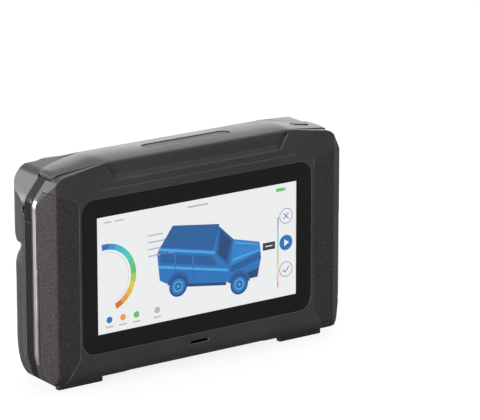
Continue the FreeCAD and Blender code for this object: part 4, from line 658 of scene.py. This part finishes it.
# a toy off-road car of flat blocks, its left side and roof in view: tone, lift, corners in mm
carBlocks = (
    ("blue", 1, ((-27.9, 6.4), (-26.2, -9.5), (-22, -12), (-7, -14.9), (19.1, -18.5), (24, -19.5),
                 (41, -19), (43.5, -8), (42.3, 1.7), (24.2, 6.3), (14.6, 15.5), (-25.7, 9.9))),
    ("deepBlue", 2, ((-17.2, 21.2), (14.6, 16.9), (10, 2.4), (-25.7, 9.9))),
    ("roofBlue", 3, ((-16.6, 20.0), (12.9, 16.0), (8.8, 4.0), (-23.6, 10.7))),
    ("skyBlue", 3, ((-26.6, 9.4), (11.6, 1.2), (11.4, -0.2), (-27, 8))),
    ("deepBlue", 4, ((14.8, 15.2), (24.2, 6.4), (20.4, -8.4), (12.2, -0.4))),
    ("navy", 5, ((15.6, 12.6), (22.4, 5.8), (19.4, -6.0), (13.8, -0.6))),
    ("midBlue", 4, ((24.2, 6.3), (42.3, 1.7), (43.2, -3.6), (22.5, -9.2))),
    ("skyBlue", 5, ((25.4, 4.4), (40.6, 0.8), (40.8, 0.1), (25.4, 3.6))),
    ("skyBlue", 5, ((23.8, -5.4), (42.4, -2.6), (42.3, -3.5), (23.6, -6.6))),
    ("deepBlue", 5, ((22.6, -9.4), (43.2, -4.6), (43.3, -8.4), (22.2, -13.4))),
    ("navy", 5, ((22.4, -17.6), (42.2, -13.6), (41, -19), (24, -19.6))),
    ("deepBlue", 4, ((-25.6, 6.2), (-16.6, 4.2), (-16.4, -1.2), (-25.8, 0.8))),
    ("deepBlue", 4, ((-15.2, 3.9), (-4.4, 1.6), (-4.2, -3.9), (-15.0, -1.5))),
    ("deepBlue", 4, ((-3.0, 1.3), (9.2, -1.3), (13.6, -7.6), (-2.8, -4.2))),
    ("skyBlue", 4, ((-27.2, -0.6), (20.6, -10.8), (20.6, -12.2), (-27.1, -2.2))),
    ("navy", 4, ((-9, -14.4), (19.1, -18.4), (19.1, -20.2), (-9, -16.2))),
    ("deepBlue", 5, ((-3.8, -4.4), (-3.4, -4.5), (-3.0, -15.3), (-3.4, -15.4))),
    ("deepBlue", 5, ((-16.0, -1.6), (-15.6, -1.7), (-14.8, -12.6), (-15.2, -12.7))),
)


# centres of the two wheels, and their discs from the tyre inwards: radius, tone, lift
carWheels = {"centres": ((-13.8, -15.1), (28.2, -21.3)), "arch": 7.4, "archRise": 0.8,
             "discs": ((6.1, "navy", 7), (4.9, "blue", 8), (3.3, "skyBlue", 9),
                       (2.3, "deepBlue", 10), (1.0, "skyBlue", 11))}


def drawCar(art, blocks, wheels):
    for tone, lift, corners in blocks:
        art.lay(corners, tone, lift)
    for x, z in wheels["centres"]:
        art.disc(x, z + wheels["archRise"], wheels["arch"], "deepBlue", 6, 0, 180)
        for radius, tone, lift in wheels["discs"]:
            art.disc(x, z, radius, tone, lift)


# a ring gauge at the left, and its tones again on an upright scale at the right
gaugeSetup = {
    "tones": ("blue", "azure", "cyan", "aqua", "teal", "mint", "green", "lime", "yellow", "amber",
              "orange", "red"),
    "place": (-62, -2), "outer": 20.0, "inner": 16.6, "start": 98, "step": 14, "lap": 0.2,
    "hairline": (15.2, 15.0), "hairlineEnds": (90, -70),
    "scaleX": (55.0, 55.7), "scaleTop": 14, "scaleStep": 3.5}


def drawGauge(art, setup):
    x, z = setup["place"]
    left, right = setup["scaleX"]
    for count, tone in enumerate(setup["tones"]):
        start = setup["start"] - setup["step"] * count
        stop = start - setup["step"] - setup["lap"]
        art.disc(x, z, setup["outer"], tone, 1, start, stop, setup["inner"])
        top = setup["scaleTop"] - setup["scaleStep"] * count
        art.bar(left, top - setup["scaleStep"], right, top, tone)
    outer, inner = setup["hairline"]
    start, stop = setup["hairlineEnds"]
    art.disc(x, z, outer, "grey", 1, start, stop, inner)


# three round keys at the right: a cross, an arrow and a tick
keySetup = {
    "x": 61, "radius": 4.6, "ringInner": 4.25, "ringZ": (14, -18), "fullZ": -2,
    "arrow": ((59.8, -4.1), (63.2, -2), (59.8, 0.1)), "strokeHalf": 0.28,
    "strokes": (((59.2, 12.2), (62.8, 15.8)), ((59.2, 15.8), (62.8, 12.2)),
                ((58.9, -18.2), (60.5, -19.8)), ((60.5, -19.8), (63.3, -16.4)))}


def drawKeys(art, setup):
    for z in setup["ringZ"]:
        art.disc(setup["x"], z, setup["radius"], "deepBlue", 1, 0, 360, setup["ringInner"])
    art.disc(setup["x"], setup["fullZ"], setup["radius"], "blue")
    art.lay(setup["arrow"], "white", 2)
    for a, b in setup["strokes"]:
        run = Vector(b) - Vector(a)
        side = Vector((-run.y, run.x)).normalized() * setup["strokeHalf"]
        art.lay([Vector(a) - side, Vector(b) - side, Vector(b) + side, Vector(a) + side],
                "blue", 2)


# bars that stand for words: at the top their ends and how far their sides lie under the edge,
# in the notes the top side and the end of the left bar
markSetup = {
    "top": ((-63, -58, 4.2, 3.4, "grey"), (-56, -50, 4.2, 3.4, "grey"),
            (-7, 7, 4.4, 3.4, "grey"), (54, 60, 4.8, 2.9, "green"),
            (60.2, 60.8, 4.3, 3.4, "green")),
    "notes": ((18.3, -24), (14.3, -22), (10.3, -24), (6.3, -22)), "noteHigh": 0.8,
    "noteLeft": -34, "noteRight": (-20, -14),
    "label": (44.6, -4.2, 53.2, 0.2), "labelLine": (46.4, -2.3, 51.4, -1.7),
    "dots": ((-60, "blue"), (-51, "orange"), (-42, "green"), (-28, "grey")),
    "dotZ": -26.5, "dotRadius": 1.9, "underZ": (-31.0, -30.2), "underHalf": 2.6}


def drawMarks(art, setup):
    edge = screenSize["halfHeight"]
    for left, right, low, high, tone in setup["top"]:
        art.bar(left, edge - low, right, edge - high, tone)
    for top, end in setup["notes"]:
        low = top - setup["noteHigh"]
        art.bar(setup["noteLeft"], low, end, top, "grey")
        art.bar(setup["noteRight"][0], low, setup["noteRight"][1], top, "grey")
    art.bar(*setup["label"], "ink", 16)
    art.bar(*setup["labelLine"], "white", 17)
    low, high = setup["underZ"]
    for x, tone in setup["dots"]:
        art.disc(x, setup["dotZ"], setup["dotRadius"], tone)
        art.bar(x - setup["underHalf"], low, x + setup["underHalf"], high, "grey")


def drawScreen():
    art = Picture("screen_picture")
    w, h = screenSize["halfWidth"], screenSize["halfHeight"]
    art.bar(-w, -h, w, h, "white", 0)
    drawMarks(art, markSetup)
    drawGauge(art, gaugeSetup)
    drawKeys(art, keySetup)
    drawCar(art, carBlocks, carWheels)
    piece = art.finish()
    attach(piece, "housing")
    print("screen drawn")


drawScreen()


# optics: small turned and moulded details behind the windows

smoothLimit = math.radians(40)


def keepPiece(name, form, body, finish):
    # bmesh to an object at the origin, normals outwards, smooth but for its sharp edges
    bmesh.ops.remove_doubles(form, verts=form.verts, dist=1e-6)
    bmesh.ops.recalc_face_normals(form, faces=form.faces)
    for edge in form.edges:
        edge.smooth = len(edge.link_faces) == 2 and edge.calc_face_angle(0) < smoothLimit
    for face in form.faces:
        face.smooth = True
    mesh = bpy.data.meshes.new(name)
    form.to_mesh(mesh)
    form.free()
    mesh.materials.append(finish)
    piece = bpy.data.objects.new(name, mesh)
    bpy.context.scene.collection.objects.link(piece)
    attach(piece, body)
    return piece


def turned(profile, steps=48):
    # lathe work: a profile of (radius, height) pairs, closed or ending on the axis, spun about z
    form = bmesh.new()
    dots = [form.verts.new((r * mm, 0, n * mm)) for r, n in profile]
    lines = [form.edges.new(pair) for pair in zip(dots, dots[1:])]
    if profile[0][0] > 0:
        lines.append(form.edges.new((dots[-1], dots[0])))
    bmesh.ops.spin(form, geom=dots + lines, cent=(0, 0, 0), axis=(0, 0, 1), angle=math.tau,
                   steps=steps, use_merge=True)
    return form


def roundedPlate(halfU, halfW, corner, low, high, rim=0):
    # a plate with rounded corners, or only its rim where one is asked for
    form = bmesh.new()
    bmesh.ops.create_grid(form, x_segments=1, y_segments=1, size=1)
    bmesh.ops.scale(form, vec=(halfU * mm, halfW * mm, 1), verts=form.verts)
    bmesh.ops.translate(form, vec=(0, 0, low * mm), verts=form.verts)
    bmesh.ops.bevel(form, geom=list(form.verts), offset=corner * mm, segments=8, profile=0.5,
                    affect="VERTICES", material=-1)
    if rim:
        inner = list(form.faces)
        bmesh.ops.inset_region(form, faces=inner, thickness=rim * mm, use_even_offset=True,
                               use_boundary=True)
        bmesh.ops.delete(form, geom=inner, context="FACES")
    raised = bmesh.ops.extrude_face_region(form, geom=list(form.faces))
    tops = [item for item in raised["geom"] if isinstance(item, bmesh.types.BMVert)]
    bmesh.ops.translate(form, vec=(0, 0, (high - low) * mm), verts=tops)
    return form


def addTo(form, part, seat):
    # put a part built at the origin in its seat, as one more island of the form
    bmesh.ops.remove_doubles(part, verts=part.verts, dist=1e-7)
    bmesh.ops.transform(part, matrix=seat, verts=part.verts)
    carrier = bpy.data.meshes.new("carrier")
    part.to_mesh(carrier)
    part.free()
    form.from_mesh(carrier)
    bpy.data.meshes.remove(carrier)


ringGrey = workedMetal("satinRingAlloy", {
    "dark": "#7d7b80", "light": "#99979c", "roughness": 0.42, "grain": 0.3, "marks": (1, 1, 1)})
violetGlass = lensCoating("violetCoatedGlass", {"centre": "#6a4a66", "rim": "#b8a2ba"})
roseGlass = lensCoating("roseCoatedGlass", {"centre": "#a8707c", "rim": "#d9a6ae"})

# turned profiles of a pod, as radius and height from its outer face in mm
podTrim = {"ring": [(7.2, -1.5), (7.2, -1.3), (6.5, -1.3), (6.3, -1.5)],
           "cone": [(6.3, -1.5), (6.0, -1.5), (5.2, -3.1), (5.6, -3.3)],
           "core": [(0, -2.6), (1.4, -2.68), (2.5, -2.95), (3.1, -3.25), (0, -3.3)],
           "collar": [(4.4, -3.0), (3.4, -2.7), (3.1, -2.8), (3.1, -3.3), (4.6, -3.6)],
           "sideRing": [(3.9, -1.5), (3.9, -1.3), (3.3, -1.3), (2.4, -1.5)],
           "sideEye": [(0, -1.3), (0.8, -1.32), (1.5, -1.5), (0, -1.5)],
           "tinyRing": [(2.0, -2.4), (2.0, -1.6), (1.5, -1.6), (1.4, -2.4)]}


def dressPods(trim):
    for side, hand in hands:
        seat = podFrame(hand)
        main = seat @ Matrix.Translation((optics["lensU"] * mm, 0, 0))
        aside = seat @ Matrix.Translation((optics["sideU"] * mm, 0, 0))
        rings, cones, cores = bmesh.new(), bmesh.new(), bmesh.new()
        addTo(rings, turned(trim["ring"]), main)
        addTo(rings, turned(trim["sideRing"]), aside)
        for w in (-optics["tinyW"], optics["tinyW"]):
            spot = seat @ Matrix.Translation((optics["tinyU"] * mm, w * mm, 0))
            addTo(rings, turned(trim["tinyRing"], 24), spot)
        addTo(cones, turned(trim["cone"]), main)
        addTo(cones, turned(trim["collar"]), main)
        addTo(cores, turned(trim["core"]), main)
        addTo(cores, turned(trim["sideEye"], 24), aside)
        anodised = finishes["black_aluminium"]
        keepPiece("lens_rings_" + side, rings, "housing", ringGrey)
        keepPiece("lens_cone_" + side, cones, "housing", anodised)
        keepPiece("lens_core_" + side, cores, "housing", violetGlass)
    print("pods dressed")


# mm from the window's outer face: turned profiles, and plates as half width, half height, corner,
# low side, high side and, for an open frame, how wide it is
windowTrim = {"rim": (34.7, 15.55, 15.5, -0.05, 0.1, 0.3),
              "roundFrame": [(3.8, -1.12), (3.8, -1.02), (2.8, -1.02), (1.9, -1.1)],
              "roundEye": [(0, -1.02), (0.8, -1.04), (1.4, -1.1), (0, -1.12)],
              "roundFace": [(0, -1.13), (5.0, -1.13), (5.1, -1.17), (0, -1.17)],
              "squareFrame": (3.9, 3.9, 1.6, -1.12, -1.02, 0.9),
              "squareEye": (1.5, 1.5, 0.7, -1.12, -1.02),
              "squareFace": (5.4, 5.4, 4.0, -1.17, -1.13),
              "slitFrame": (2.5, 3.6, 1.1, -1.12, -1.02, 0.7),
              "slitFace": (4.6, 4.6, 4.4, -1.17, -1.13),
              "laser": (0.8, 2.6, 0.4, -1.12, -1.04), "laserAside": -0.9}


def dressWindow(trim):
    seat = windowFrame()
    rim, frames, lasers, eyes, faces = [bmesh.new() for count in range(5)]
    addTo(rim, roundedPlate(*trim["rim"]), seat)
    for x in windowMarks["round"]:
        spot = seat @ Matrix.Translation((-x * mm, 0, 0))
        addTo(frames, turned(trim["roundFrame"], 32), spot)
        addTo(eyes, turned(trim["roundEye"], 24), spot)
        addTo(faces, turned(trim["roundFace"], 32), spot)
    for x in windowMarks["square"]:
        spot = seat @ Matrix.Translation((-x * mm, 0, 0))
        addTo(frames, roundedPlate(*trim["squareFrame"]), spot)
        addTo(eyes, roundedPlate(*trim["squareEye"]), spot)
        addTo(faces, roundedPlate(*trim["squareFace"]), spot)
    for x, w, lean in windowMarks["slits"]:
        turn = Matrix.Rotation(math.radians(lean), 4, "Z")
        spot = seat @ Matrix.Translation((-x * mm, w * mm, 0)) @ turn
        aside = spot @ Matrix.Translation((trim["laserAside"] * mm, 0, 0))
        addTo(frames, roundedPlate(*trim["slitFrame"]), spot)
        addTo(faces, roundedPlate(*trim["slitFace"]), spot)
        addTo(lasers, roundedPlate(*trim["laser"]), aside)
    keepPiece("window_rim", rim, "housing", ringGrey)
    keepPiece("window_frames", frames, "housing", ringGrey)
    keepPiece("window_faces", faces, "housing", finishes["chip_black"])
    keepPiece("laser_faces", lasers, "housing", roseGlass)
    keepPiece("window_eyes", eyes, "housing", violetGlass)
    print("window dressed")


dressPods(podTrim)
dressWindow(windowTrim)
